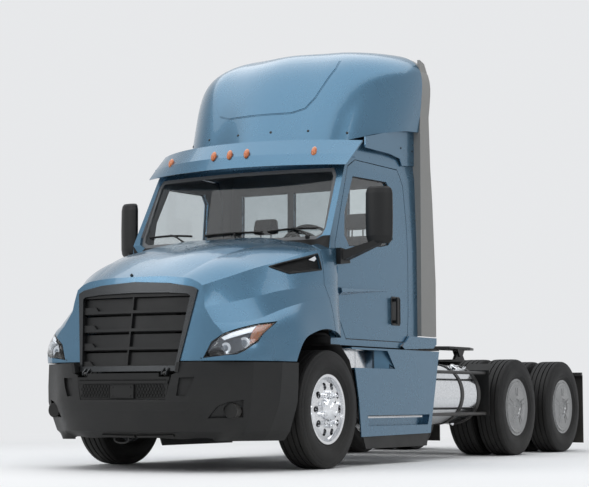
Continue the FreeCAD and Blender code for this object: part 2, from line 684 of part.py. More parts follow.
def tie_rod():
    bar = rod_x(22, -(KINGPIN_X - 10), KINGPIN_X - 10, 225, 350)
    ends = [rod_z(26, side * (KINGPIN_X - 10), 225, 325, 378) for side in (-1, 1)]
    return fused([bar] + ends)


def tyre(x, y):
    return turned([(-105, BEAD_R), (-TYRE_HALF, 395), (-132, 478), (-100, TYRE_R), (100, TYRE_R),
                   (132, 478), (TYRE_HALF, 395), (105, BEAD_R)], x, y)


def rim_barrel(x, y):
    """Drop-centre rim with its two flanges."""
    return turned([(-118, 300), (-107, 304), (-107, 290), (-60, 284), (-30, 262), (30, 262), (60, 284),
                   (107, 290), (107, 304), (118, 300), (114, 278), (60, 270), (30, 250), (-30, 250),
                   (-60, 270), (-114, 278)], x, y)


def front_wheel():
    """Bright front wheel: rim, dished disc with ten hand holes, hub and brake drum."""
    barrel = rim_barrel(FRONT_TRACK_X, 0)
    disc = turned([(62, 274), (84, 274), (112, 228), (118, 190), (118, 100), (92, 100), (92, 190),
                   (86, 215)], FRONT_TRACK_X)
    for step in range(10):
        angle = math.radians(36 * step)
        hole = rod_x(31, FRONT_TRACK_X + 40, FRONT_TRACK_X + 140, 205 * math.cos(angle),
                     AXLE_Z + 205 * math.sin(angle))
        disc = disc.cut(hole)
    hub = turned([(-86, 40.3), (-86, 80), (40, 96), (92, 104), (126, 108), (158, 88), (170, 60), (170, 0),
                  (62, 0), (62, 40.3)], FRONT_TRACK_X)
    drum = turned([(-88, 196), (-88, 212), (60, 212), (60, 92), (46, 92), (46, 196)], FRONT_TRACK_X)
    return fused([barrel, disc, hub, drum])


def twin_wheel(y):
    """Twin drive wheel: two rims back to back, hub, drum and the flat outer cover."""
    outer = rim_barrel(TWIN_OUTER_X, y)
    inner = rim_barrel(TWIN_INNER_X, y)
    middle = (TWIN_OUTER_X + TWIN_INNER_X) / 2
    disc = turned([(-105, 274), (-90, 274), (-16, 215), (16, 215), (90, 274), (105, 274), (30, 190),
                   (22, 60), (-22, 60), (-30, 190)], middle, y)
    hub = turned([(-250, 60.3), (-250, 90), (-30, 100), (30, 100), (150, 80), (150, 0), (40, 0), (40, 60.3)],
                 middle, y)
    drum = turned([(-245, 196), (-245, 214), (-40, 214), (-20, 190), (-20, 92), (-34, 92), (-44, 196)],
                  middle, y)
    cover = turned([(100, 276), (112, 284), (120, 268), (120, 95), (104, 82), (104, 34), (98, 34), (98, 82),
                    (112, 98), (112, 262)], TWIN_OUTER_X, y)
    ring = turned([(100, 276), (112, 284), (112, 276), (104, 272)], TWIN_OUTER_X, y)
    return fused([outer, inner, disc, hub, drum, cover, ring])


def rear_axle(y):
    """Drive axle: housing tube, banjo with its differential and the ends that carry the hubs."""
    tube = rod_x(62, -640, 640, y, AXLE_Z)
    spindles = [rod_x(60, s * 640 if s > 0 else -940, 940 if s > 0 else -640, y, AXLE_Z) for s in (1, -1)]
    banjo = turned([(-130, 0), (-130, 120), (-90, 185), (90, 185), (130, 120), (130, 0)], 0, y)
    nose = rod_y(80, 0, y - 330, y, AXLE_Z + 40)
    return fused([tube, banjo, nose] + spindles)


def driveline():
    """Shafts from the gearbox to the first axle and on to the second."""
    legs = [(Vector(0, 1106, 700), Vector(0, 3700, 548)), (Vector(0, 4205, 545), Vector(0, 5020, 548))]
    return [Part.makeCylinder(48, (end - start).Length, start, end - start) for start, end in legs]


def suspension():
    """Front leaf packs under the rails; air springs and arms at the drive axles."""
    pieces = []
    under = RAIL_TOP - RAIL_DEEP
    for side in (-1, 1):
        x0, x1 = (side * 385 - 45, side * 385 + 45)
        leaf = side_plate([(-760, 690), (-700, 640), (-200, 560), (200, 560), (700, 640), (760, 690),
                           (700, 668), (200, 590), (-200, 590), (-700, 668)], x0, x1)
        pad = block(x0 - 5, x1 + 5, -90, 90, 476, 562)
        hangers = [block(x0, x1, y - 30, y + 30, 660, under) for y in (-740, 740)]
        pieces.append(fused([leaf, pad] + hangers))
    for y in DRIVE_AXLES.values():
        for side in (-1, 1):
            x = side * 505
            bag = rod_z(68, x, y + 260, 600, 850)
            cap = block(min(x, side * RAIL_X), max(x, side * RAIL_X), y + 200, y + 320, 850, 862)
            arm = block(x - 40, x + 40, y - 520, y + 340, 572, 602)
            saddle = block(x - 50, x + 50, y - 60, y + 60, 520, 575).cut(rod_x(62, x - 60, x + 60, y, AXLE_Z))
            hanger = block(min(side * RAIL_X, side * 545), max(side * RAIL_X, side * 545),
                           y - 545, y - 505, 560, 820)
            pieces.append(fused([bag, cap, arm, saddle, hanger]))
    return pieces


def engine():
    """Plain blocks where the engine and gearbox stand, with the radiator ahead of them."""
    power_unit = block(-300, 300, -900, 120, 640, 1480)
    gearbox = side_plate([(120, 620), (1100, 560), (1100, 960), (120, 1000)], -230, 230)
    radiator = block(-350, 350, -1130, -1000, 760, 1400)
    return [power_unit, gearbox, radiator]


def skirt():
    """Left chassis skirt: an upper step recess with a slanted cap behind it and a low toe slot."""
    outline = [(658, 258), (2070, 270), (2270, 1050), (475, 1054), (540, 860), (610, 600)]
    panel = side_plate(outline, SKIRT_X - 12, SKIRT_X)
    roof = block(SKIRT_X - 260, SKIRT_X, 475, 2270, 1040, 1054)
    upper = side_plate([(500, 872), (1325, 872), (1170, 1036), (440, 1036)], SKIRT_X - 40, SKIRT_X + 10)
    lower = side_plate([(790, 352), (2010, 352), (2050, 448), (775, 448)], SKIRT_X - 13, SKIRT_X + 10)
    cap = plan_plate([(SKIRT_X, 1325), (SKIRT_X - 10, 1325), (SKIRT_X - 150, 1200), (SKIRT_X - 150, 1190),
                      (SKIRT_X, 1312)], 872, 1045)
    floor = block(SKIRT_X - 150, SKIRT_X, 560, 1330, 858, 872)
    liner = block(SKIRT_X - 74, SKIRT_X - 11, 765, 2060, 340, 460)
    liner = liner.cut(block(SKIRT_X - 64, SKIRT_X, 775, 2050, 350, 450))
    return fused([panel, roof, cap, floor, liner]).cut(upper).cut(lower)


def steps():
    """Treads in both recesses on hanger plates from the rail, and the bright panel behind the upper one."""
    hangers = [front_plate([(RAIL_X, 720), (RAIL_X, 970), (700, 1039), (975, 1039), (975, 840),
                            (1050, 840), (1050, 330), (1000, 330)], y, y + 8) for y in (836, 1616)]
    upper = block(870, 1085, 700, 1640, 834, 857)
    panel = side_plate([(640, 874), (1640, 874), (1500, 1036), (560, 1036)], 962, 970)
    return fused(hangers + [upper, panel])


def low_tread():
    """Bright tread across the toe slot."""
    return block(SKIRT_X - 64, SKIRT_X - 2, 785, 1890, 424, 440)


def skirt_valance():
    """Black flexible lip under the skirt."""
    return side_plate([(775, 150), (2020, 150), (2062, 268), (720, 257)], SKIRT_X - 30, SKIRT_X - 18)


def fuel_tank():
    tank = rod_y(TANK_R, TANK_X, 1690, 3310, TANK_Z)
    return tank.makeFillet(30, tank.Edges)


def tank_brackets(tank, panel):
    """Strap bands with saddles on the rail, and the two tubes along the tank's outer side."""
    straps = []
    for y in (1900, 2840, 3240):
        around = rod_y(TANK_R + 8, TANK_X, y, y + 60, TANK_Z)
        saddle = block(RAIL_X, 600, y, y + 60, 740, 960)
        straps.append(fused([around, saddle]).cut(tank))
    tubes = [rod_y(17, 1104, 2100, 3420, z).cut(panel) for z in (860, 445)]
    return straps + tubes


def quarter_fender(y0, y1):
    """Bent sheet ahead of the drive wheels."""
    return side_plate([(y0, 420), (y0, 890), (y1, 960), (y1, 950), (y0 + 10, 884), (y0 + 10, 420)], 900, 1150)


def mudflap():
    return block(620, 1215, REAR_END - 12, REAR_END, 90, 860)


def flap_hangers():
    bar = block(RAIL_X, 1215, REAR_END - 50, REAR_END - 10, 860, 900)
    root = block(RAIL_X, RAIL_X + 12, 5700, REAR_END - 10, 800, 940)
    lip = block(620, 1215, REAR_END - 20, REAR_END, 860, 872)
    return fused([bar, root, lip])


def tail_lamps():
    """Lamp box across the end of the frame, under the last crossmember."""
    return both(block(150, RAIL_X, FRAME_REAR, FRAME_REAR + 28, 760, 840))


def coupler_base():
    """Mounting angles on the rails, the base plate across them and the two pivot cheeks."""
    top = RAIL_TOP + 22
    legs = [block(min(s * RAIL_X, s * (RAIL_X + 10)), max(s * RAIL_X, s * (RAIL_X + 10)), 3450, 4760, 870, top)
            for s in (-1, 1)]
    shelves = [block(min(s * 345, s * 560), max(s * 345, s * 560), 3450, 4760, top - 12, top) for s in (-1, 1)]
    base = block(-500, 500, 3900, 4700, top, top + 18)
    cheeks = []
    for s in (-1, 1):
        cheek = side_plate([(4170, top + 18), (4430, top + 18), (4345, COUPLER_PIVOT + 30),
                            (4255, COUPLER_PIVOT + 30)], s * 400 - 17, s * 400 + 17)
        cheeks.append(cheek.cut(rod_x(20.3, s * 400 - 20, s * 400 + 20, COUPLER_Y, COUPLER_PIVOT)))
    return fused(legs + shelves + [base] + cheeks)


def coupler_plate():
    """Coupling plate with its throat, two ramps to the rear and the pivot lugs beneath."""
    outline = [(-440, 3980), (-300, 3900), (300, 3900), (440, 3980), (450, 4500), (330, 4860), (100, 4860),
               (51, 4560), (-51, 4560), (-100, 4860), (-330, 4860), (-450, 4500)]
    plate = plan_plate(outline, COUPLER_TOP - 24, COUPLER_TOP)
    slot = block(-51, 51, COUPLER_Y, 4600, COUPLER_TOP - 40, COUPLER_TOP + 5)
    plate = plate.cut(slot).cut(rod_z(51, 0, COUPLER_Y, COUPLER_TOP - 40, COUPLER_TOP + 5))
    lugs = []
    for s in (-1, 1):
        for x in (s * 400 - 34, s * 400 + 22):
            lugs.append(side_plate([(4200, COUPLER_TOP - 20), (4400, COUPLER_TOP - 20),
                                    (4335, COUPLER_PIVOT - 26), (4265, COUPLER_PIVOT - 26)], x, x + 12))
        lugs.append(rod_x(20, s * 400 - 25, s * 400 + 25, COUPLER_Y, COUPLER_PIVOT))
    return fused([plate] + lugs)


def deck_plate():
    return block(-RAIL_X, RAIL_X, 2320, 3200, RAIL_TOP + 1, RAIL_TOP + 8)


def main():
    walls = cab_walls()
    write("cab_shell", cab_shell(walls))
    write("cab_glass", cab_glass())
    write("screen_seal", screen_seal())
    write("dashboard", dashboard())
    write("seats", [seat(520), seat(-520)])
    visor = sun_visor()
    write("sun_visor", visor)
    write("marker_lamps", marker_lamps(visor))
    write("roof_fairing", roof_fairing())
    write("side_extenders", both(side_extender()))
    panel = door_panel(walls)
    glass = door_glass(walls)
    for side, flip in (("left", lambda s: s), ("right", mirrored)):
        write("door_" + side + "_panel", flip(panel))
        write("door_" + side + "_glass", flip(glass))
        write("door_" + side + "_handle", flip(door_handle()))
        write("mirror_" + side, flip(mirror()))
        write("knuckle_" + side, flip(knuckle()))
        write("tyre_front_" + side, flip(tyre(FRONT_TRACK_X, 0)))
        write("wheel_front_" + side, flip(front_wheel()))
        for place, y in DRIVE_AXLES.items():
            write("tyres_" + place + "_" + side, [flip(tyre(TWIN_OUTER_X, y)), flip(tyre(TWIN_INNER_X, y))])
            write("wheels_" + place + "_" + side, flip(twin_wheel(y)))
    outer, inner = body_forms()
    write("hood_shell", hood_shell(outer, inner))
    write("hood_vents", hood_vents(inner))
    write("cowl_sides", cowl_sides(outer))
    write("headlamps", headlamps())
    write("grille_surround", grille_frame())
    write("grille_bars", grille_bars())
    write("bumper", bumper())
    write("bumper_mesh", bumper_mesh())
    write("fog_lamps", fog_lamps())
    write("frame_rails", both(rail()))
    write("crossmembers", crossmembers())
    write("front_axle", front_axle())
    write("tie_rod", tie_rod())
    write("suspension", suspension())
    write("rear_axles", [rear_axle(y) for y in DRIVE_AXLES.values()] + driveline())
    write("engine", engine())
    panel = skirt()
    tank = fuel_tank()
    write("side_skirts", both(panel))
    write("steps", both(steps()) + both(low_tread()))
    write("skirt_valances", both(skirt_valance()))
    write("fuel_tanks", both(tank))
    write("tank_brackets", [s for p in tank_brackets(tank, panel) for s in both(p)])
    write("quarter_fenders", both(quarter_fender(3420, 3480)))
    write("mudflaps", both(mudflap()))
    write("flap_hangers", both(flap_hangers()))
    write("tail_lamps", tail_lamps())
    write("coupler_base", coupler_base())
    write("coupler_plate", coupler_plate())
    write("deck_plate", deck_plate())


main()
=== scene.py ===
# Dressing for the day-cab highway tractor: materials, fine pieces, studio and camera.
# Metres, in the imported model's own frame. Stations along Y are measured back from the
# front axle, as in the part's source, and st() turns them into the frame.
import math
import bpy
import bmesh
from mathutils import Matrix, Vector
from mathutils.bvhtree import BVHTree


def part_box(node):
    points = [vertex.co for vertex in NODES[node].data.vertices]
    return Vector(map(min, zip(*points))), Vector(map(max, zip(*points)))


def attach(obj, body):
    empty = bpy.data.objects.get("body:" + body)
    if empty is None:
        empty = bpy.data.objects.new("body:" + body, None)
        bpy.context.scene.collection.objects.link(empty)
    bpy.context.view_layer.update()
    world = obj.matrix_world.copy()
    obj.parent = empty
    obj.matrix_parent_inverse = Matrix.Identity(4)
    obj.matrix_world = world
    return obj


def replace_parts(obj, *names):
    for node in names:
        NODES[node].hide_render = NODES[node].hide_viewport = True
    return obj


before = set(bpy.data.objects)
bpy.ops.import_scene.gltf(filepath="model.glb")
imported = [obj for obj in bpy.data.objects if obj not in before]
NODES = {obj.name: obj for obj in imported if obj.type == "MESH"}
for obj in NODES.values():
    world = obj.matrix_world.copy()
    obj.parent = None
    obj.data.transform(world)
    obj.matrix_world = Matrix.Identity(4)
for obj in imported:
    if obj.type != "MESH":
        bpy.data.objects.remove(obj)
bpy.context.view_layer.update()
FRONT_AXLE_Y = -2.270
AXLE_Z = 0.508    # also the tyres' radius
TWIN_AXLES = (("mid", 4.030), ("rear", 5.350))
FRONT_WHEEL_X = 1.040
TWIN_X = (1.080, 0.750)
SIDES = (("left", 1), ("right", -1))


def vec(*values):
    return Vector(values)


def st(x, y, z):
    """A point given with its station behind the front axle."""
    return vec(x, y + FRONT_AXLE_Y, z)


def mm(*pairs):
    """A flat line or outline given in millimetres."""
    return [(a / 1000, b / 1000) for a, b in pairs]


def both_sides(*makers):
    for make in makers:
        for hand, side in SIDES:
            make(hand, side)


def srgb(red, green, blue):
    """An 8-bit colour as the linear values that shaders take."""
    return tuple((c / 255 / 12.92 if c < 11 else ((c / 255 + 0.055) / 1.055) ** 2.4)
                 for c in (red, green, blue)) + (1.0,)


# Shader building

def new_group(name, inputs, outputs):
    """A shader node group whose sockets all carry plain values."""
    tree = bpy.data.node_groups.new(name, "ShaderNodeTree")
    for label, value in inputs.items():
        tree.interface.new_socket(label, in_out="INPUT", socket_type="NodeSocketFloat").default_value = value
    for label in outputs:
        tree.interface.new_socket(label, in_out="OUTPUT", socket_type="NodeSocketFloat")
    return tree, tree.nodes.new("NodeGroupInput"), tree.nodes.new("NodeGroupOutput")


def node(tree, kind, values=None, **settings):
    made = tree.nodes.new("ShaderNode" + kind)
    for key, value in settings.items():
        setattr(made, key, value)
    for key, value in (values or {}).items():
        made.inputs[key].default_value = value
    return made


def placed(tree, group, **values):
    made = tree.nodes.new("ShaderNodeGroup")
    made.node_tree = group
    for key, value in values.items():
        made.inputs[key].default_value = value
    return made


def join(tree, start, end):
    tree.links.new(start, end)


def blend_colour(tree, mask, low, high):
    """A colour mix; low and high are colours or sockets."""
    mix = node(tree, "Mix", data_type="RGBA")
    join(tree, mask, mix.inputs[0])
    for slot_number, value in ((6, low), (7, high)):
        if isinstance(value, tuple):
            mix.inputs[slot_number].default_value = value
        else:
            join(tree, value, mix.inputs[slot_number])
    return mix.outputs[2]


def ranged(tree, value, low, high, start=0, end=1.0):
    """A value spread from one range to another."""
    made = node(tree, "MapRange", {"From Min": start, "From Max": end, "To Min": low, "To Max": high})
    join(tree, value, made.inputs["Value"])
    return made.outputs["Result"]


def object_axis(tree, axis):
    """One coordinate of the shaded point."""
    split = node(tree, "SeparateXYZ")
    join(tree, node(tree, "TexCoord").outputs["Object"], split.inputs[0])
    return split.outputs[axis]


def object_texture(tree, kind, values=None, **settings):
    """A texture laid out on object coordinates."""
    made = node(tree, kind, values, **settings)
    join(tree, node(tree, "TexCoord").outputs["Object"], made.inputs["Vector"])
    return made


def reckoned(tree, operation, *values, **settings):
    """A Math node's result over sockets and numbers."""
    made = node(tree, "Math", operation=operation, **settings)
    for number, value in enumerate(values):
        if isinstance(value, float):
            made.inputs[number].default_value = value
        else:
            join(tree, value, made.inputs[number])
    return made.outputs[0]


def mix_shaders(tree, mask, first, second, end):
    mix = node(tree, "MixShader")
    for number, value in enumerate((mask, first, second)):
        join(tree, value, mix.inputs[number])
    join(tree, mix.outputs[0], end)


def build_grain():
    """Fine surface grain: a height for bumps and a mottle for colour."""
    tree, inside, out = new_group("fine_grain", {"Scale": 300.0}, ("Height", "Mottle"))
    noise = object_texture(tree, "TexNoise", {"Detail": 3.0, "Roughness": 0.6})
    cells = object_texture(tree, "TexVoronoi", feature="F1")
    for made in (noise, cells):
        join(tree, inside.outputs["Scale"], made.inputs["Scale"])
    join(tree, reckoned(tree, "ADD", noise.outputs["Fac"], cells.outputs["Distance"]), out.inputs["Height"])
    join(tree, noise.outputs["Fac"], out.inputs["Mottle"])
    return tree


def build_handling():
    """Broad soft clouding that varies gloss over a panel."""
    tree, inside, out = new_group("handling_marks", {"Scale": 3.0}, ("Mask",))
    broad = object_texture(tree, "TexNoise", {"Detail": 5.0, "Roughness": 0.65, "Distortion": 0.4})
    join(tree, inside.outputs["Scale"], broad.inputs["Scale"])
    join(tree, ranged(tree, broad.outputs["Fac"], 0, 1.0, 0.3, 0.7), out.inputs["Mask"])
    return tree


def build_film():
    """Road film: a thin dusting that gathers low down, broken up by cloudy patches."""
    tree, inside, out = new_group("road_film", {"Amount": 0.2}, ("Mask",))
    low = ranged(tree, object_axis(tree, "Z"), 1.0, 0, 0.1, 1.1)
    cloud = object_texture(tree, "TexNoise", {"Scale": 4.0, "Detail": 6.0, "Roughness": 0.7})
    both = reckoned(tree, "MULTIPLY", low, cloud.outputs["Fac"])
    join(tree, reckoned(tree, "MULTIPLY", both, inside.outputs["Amount"], use_clamp=True), out.inputs["Mask"])
    return tree


GRAIN = build_grain()
HANDLING = build_handling()
FILM = build_film()
DUST = srgb(120, 116, 108)
CLOUD_SCALE = 2.5
SIPE_RATE = 420.0    # radians of the sipes' wave in a metre of tread


def finish_of(name, deep, light, rough, grain, bump, film, metal, settings):
    """A material with grain, clouding and road film between two shades and two roughnesses."""
    mat = bpy.data.materials.new(name)
    mat.use_nodes = True
    tree = mat.node_tree
    shader = tree.nodes["Principled BSDF"]
    for key, value in {"Metallic": metal, **settings}.items():
        shader.inputs[key].default_value = value
    fine = placed(tree, GRAIN, Scale=grain)
    marks = placed(tree, HANDLING, Scale=CLOUD_SCALE)
    dust = placed(tree, FILM, Amount=film)
    shade = ranged(tree, fine.outputs["Mottle"], 0, 1.0, 0.35, 0.65)
    tint = blend_colour(tree, shade, srgb(*deep), srgb(*light))
    join(tree, blend_colour(tree, dust.outputs["Mask"], tint, DUST), shader.inputs["Base Color"])
    join(tree, ranged(tree, marks.outputs["Mask"], *rough), shader.inputs["Roughness"])
    relief = node(tree, "Bump", {"Strength": bump, "Distance": 0.001})
    join(tree, fine.outputs["Height"], relief.inputs["Height"])
    join(tree, relief.outputs["Normal"], shader.inputs["Normal"])
    return mat


def tint_windscreen(mat):
    """Give the glass ahead of the screen's foot line a tint of its own."""
    tree = mat.node_tree
    colour = tree.nodes["Principled BSDF"].inputs["Base Color"]
    screen = ranged(tree, object_axis(tree, "Y"), 0, 1.0, -1.50, -1.48)
    join(tree, blend_colour(tree, screen, srgb(206, 211, 213), colour.links[0].from_socket), colour)


def cut_sipes(mat):
    """Shoulder sipes that follow the tread by the tyre's own UV map, u round it and v across it."""
    tree = mat.node_tree
    surface = tree.nodes["Principled BSDF"].inputs["Normal"]
    split = node(tree, "SeparateXYZ")
    join(tree, node(tree, "UVMap", uv_map="round").outputs["UV"], split.inputs[0])
    wave = reckoned(tree, "SINE", reckoned(tree, "MULTIPLY", split.outputs["X"], SIPE_RATE))
    cut = ranged(tree, wave, 0, 1.0, 0.55, 0.85)
    band = ranged(tree, reckoned(tree, "ABSOLUTE", split.outputs["Y"]), 0, 1.0, 0.098, 0.104)
    relief = node(tree, "Bump", {"Strength": 0.6, "Distance": 0.004}, invert=True)
    join(tree, reckoned(tree, "MULTIPLY", cut, band), relief.inputs["Height"])
    join(tree, surface.links[0].from_socket, relief.inputs["Normal"])
    join(tree, relief.outputs["Normal"], surface)


# Darker and lighter shade, range of roughness, scale of the grain, strength of its bump, road film,
# metallic, and the shader's other settings.
LOW_SHINE = {"Specular IOR Level": 0.3}
LENS_COAT = {"Coat Weight": 0.8, "Coat Roughness": 0.05}
PANE = {"Transmission Weight": 1.0, "IOR": 1.35}
FINISHES = {
    "paint": ((62, 99, 124), (80, 118, 143), (0.24, 0.31), 900.0, 0.015, 0.05, 0.7,
              {"Coat Weight": 0.45, "Coat Roughness": 0.03, "Coat IOR": 1.5}),
    "bumper_plastic": ((20, 21, 22), (27, 28, 29), (0.42, 0.52), 700.0, 0.22, 0.1, 0, LOW_SHINE),
    "trim_plastic": ((14, 15, 16), (21, 22, 23), (0.40, 0.52), 600.0, 0.12, 0.1, 0, LOW_SHINE),
    "cabin_trim": ((118, 119, 122), (128, 129, 132), (0.75, 0.85), 300.0, 0.08, 0, 0, {}),
    "tread_metal": ((176, 178, 180), (202, 204, 206), (0.26, 0.38), 220.0, 0.1, 0.1, 0.9, {}),
    "lamp_silver": ((222, 224, 228), (240, 241, 243), (0.16, 0.26), 200.0, 0.03, 0, 0.55, {}),
    # The lamp band's faint glow is painted light: it stands in for the studio light that the clear lens keeps off
    # the lamp's inside.
    "lamp_band": ((232, 234, 238), (242, 243, 246), (0.25, 0.35), 200.0, 0.02, 0, 0.1,
                  {"Emission Color": (0.9, 0.95, 1.0, 1.0), "Emission Strength": 0.45}),
    "lamp_eye": ((96, 104, 112), (140, 148, 156), (0.02, 0.06), 120.0, 0, 0, 0.3,
                 {"Coat Weight": 1.0, "Coat Roughness": 0.02}),
    "grille_grey": ((50, 52, 54), (64, 66, 68), (0.24, 0.34), 800.0, 0.05, 0.05, 0.75, {}),
    "grey_satin": ((120, 120, 118), (132, 132, 130), (0.42, 0.52), 500.0, 0.1, 0.1, 0, {}),
    "frame_black": ((24, 24, 25), (38, 38, 39), (0.4, 0.6), 240.0, 0.3, 0.35, 0, {}),
    "cast_metal": ((40, 40, 41), (62, 61, 60), (0.5, 0.7), 180.0, 0.6, 0.5, 0.6, {}),
    "aluminium": ((205, 207, 210), (226, 228, 230), (0.08, 0.16), 60.0, 0.02, 0.05, 1.0, {}),
    "polished_wheel": ((212, 213, 215), (232, 233, 235), (0.06, 0.14), 90.0, 0.02, 0.05, 1.0, {}),
    "chrome": ((225, 227, 230), (240, 241, 243), (0.03, 0.08), 90.0, 0, 0, 1.0, {}),
    "wheel_cover": ((128, 129, 130), (150, 151, 151), (0.20, 0.28), 420.0, 0.05, 0.1, 0.9, {}),
    "seal_rubber": ((88, 90, 92), (104, 106, 108), (0.5, 0.62), 400.0, 0.1, 0.1, 0, {}),
    "black_rubber": ((12, 12, 13), (18, 18, 19), (0.5, 0.7), 350.0, 0.2, 0.1, 0, LOW_SHINE),
    "flap_rubber": ((14, 14, 15), (21, 21, 22), (0.55, 0.7), 160.0, 0.4, 0.4, 0, LOW_SHINE),
    "seat_fabric": ((40, 42, 46), (58, 60, 65), (0.85, 0.95), 500.0, 0.5, 0, 0,
                    {"Sheen Weight": 0.35, "Sheen Roughness": 0.5}),
    "amber_lens": ((172, 84, 26), (200, 112, 44), (0.06, 0.14), 160.0, 0.15, 0, 0,
                   {"Subsurface Weight": 0.2, **LENS_COAT}),
    "red_lens": ((110, 10, 12), (150, 20, 22), (0.06, 0.14), 160.0, 0.15, 0.1, 0, LENS_COAT),
    "clear_lens": ((236, 240, 244), (248, 250, 252), (0.01, 0.03), 60.0, 0, 0, 0,
                   {"Transmission Weight": 1.0, "IOR": 1.45}),
    "glass": ((198, 206, 208), (204, 212, 214), (0, 0.02), 20.0, 0, 0, 0, PANE),
    "door_glass": ((248, 251, 251), (250, 253, 253), (0, 0.02), 20.0, 0, 0, 0, PANE),
    "lamp_bowl": ((74, 77, 82), (106, 109, 114), (0.15, 0.25), 300.0, 0, 0, 0.8, {}),
    "tyre": ((13, 13, 14), (19, 19, 20), (0.55, 0.68), 260.0, 0.12, 0.12, 0, LOW_SHINE),
}
MATERIAL_NAMES = {"paint": "body_paint", "aluminium": "tank_metal", "polished_wheel": "rim_metal",
                  "wheel_cover": "cover_metal", "glass": "tinted_glass", "tyre": "tyre_rubber"}
FINISH = {key: finish_of(MATERIAL_NAMES.get(key, key), *row) for key, row in FINISHES.items()}
tint_windscreen(FINISH["glass"])
cut_sipes(FINISH["tyre"])

# The CAD nodes of each finish; * stands for left and right.
NODE_FINISH = {
    "paint": "cab_shell cowl_sides sun_visor roof_fairing hood_shell side_skirts door_*_panel",
    "glass": "cab_glass",
    "door_glass": "door_*_glass",
    "seal_rubber": "screen_seal",
    "trim_plastic": "dashboard bumper_mesh grille_bars hood_vents door_*_handle skirt_valances quarter_fenders",
    "bumper_plastic": "bumper mirror_*",
    "grille_grey": "grille_surround",
    "grey_satin": "side_extenders",
    "seat_fabric": "seats",
    "amber_lens": "marker_lamps",
    "red_lens": "tail_lamps",
    "clear_lens": "headlamps",
    "frame_black": "frame_rails crossmembers tank_brackets flap_hangers coupler_base coupler_plate fog_lamps",
    "cast_metal": "front_axle suspension rear_axles engine knuckle_* tie_rod",
    "aluminium": "fuel_tanks steps deck_plate",
    "polished_wheel": "wheel_front_*",
    "wheel_cover": "wheels_mid_* wheels_rear_*",
    "flap_rubber": "mudflaps",
    "tyre": "tyre_front_* tyres_mid_* tyres_rear_*",
}
for finish_name, members in NODE_FINISH.items():
    for member in members.split():
        for hand, _ in SIDES:
            for holder in NODES[member.replace("*", hand)].material_slots:
                holder.material = FINISH[finish_name]


# Mesh building

SHARP_FROM = math.radians(30)


def linked(name, data):
    made = bpy.data.objects.new(name, data)
    bpy.context.scene.collection.objects.link(made)
    return made


def formed(bm, name, material=None):
    """An object in the scene from a finished bmesh."""
    mesh = bpy.data.meshes.new(name)
    bm.to_mesh(mesh)
    bm.free()
    if material:
        mesh.materials.append(material)
    return linked(name, mesh)


def piece(bm, name, body, finish, slot=None):
    """Turn a finished bmesh into a piece that rides on a body."""
    bmesh.ops.recalc_face_normals(bm, faces=bm.faces)
    made = formed(bm, name, FINISH[finish])
    for polygon in made.data.polygons:
        polygon.use_smooth = True
    made.data.set_sharp_from_angle(angle=SHARP_FROM)
    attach(made, body)
    slot or finish
    return made


def verts_of(made):
    return [part for part in made["geom"] if isinstance(part, bmesh.types.BMVert)]


def turn_profile(bm, profile, centre, steps, closed=True):
    """Spin an (offset along X, radius) profile once round a wheel axis."""
    start = [bm.verts.new(centre + vec(dx, 0, r)) for dx, r in profile]
    pairs = list(zip(start, start[1:])) + ([(start[-1], start[0])] if closed else [])
    edges = [bm.edges.new(pair) for pair in pairs]
    return bmesh.ops.spin(bm, geom=start + edges, cent=centre, axis=(1.0, 0, 0), angle=math.tau,
                          steps=steps, use_merge=True)


def posed(bm, verts, turn, place):
    """Turn corners about the origin, then move them to their place."""
    bmesh.ops.rotate(bm, cent=(0, 0, 0), matrix=turn, verts=verts)
    bmesh.ops.translate(bm, vec=place, verts=verts)


def box_at(bm, centre, size, edge=0, turn=Matrix.Identity(3)):
    """A block, with its edges rounded when edge is given."""
    made = bmesh.ops.create_cube(bm, size=1.0)["verts"]
    bmesh.ops.scale(bm, vec=size, verts=made)
    if edge:
        rim = list({e for v in made for e in v.link_edges})
        made = bmesh.ops.bevel(bm, geom=rim, offset=edge, segments=2, profile=0.5, material=-1,
                               affect="EDGES")["verts"]
        made = list({v for f in {f for v in made for f in v.link_faces} for v in f.verts})
    posed(bm, made, turn, centre)


def facing(direction):
    """A turn that takes +Z to a direction."""
    return Vector(direction).to_track_quat("Z", "Y").to_matrix()


def stud(bm, centre, direction, rings, sides=6, turn=0):
    """A short turned or sided form: (height, radius) rings along a direction."""
    spin = facing(direction) @ Matrix.Rotation(turn, 3, "Z")
    height, radius = rings[0]
    made = bmesh.ops.create_circle(bm, cap_ends=True, radius=radius, segments=sides)["verts"]
    bmesh.ops.translate(bm, vec=(0, 0, height), verts=made)
    top = list({f for v in made for f in v.link_faces})
    for next_height, next_radius in rings[1:]:
        grown = bmesh.ops.extrude_face_region(bm, geom=top)
        fresh = verts_of(grown)
        top = [part for part in grown["geom"] if isinstance(part, bmesh.types.BMFace)]
        factor = next_radius / radius
        bmesh.ops.scale(bm, vec=(factor, factor, 1.0), verts=fresh)
        bmesh.ops.translate(bm, vec=(0, 0, next_height - height), verts=fresh)
        made = made + fresh
        height, radius = next_height, next_radius
    posed(bm, made, spin, centre)


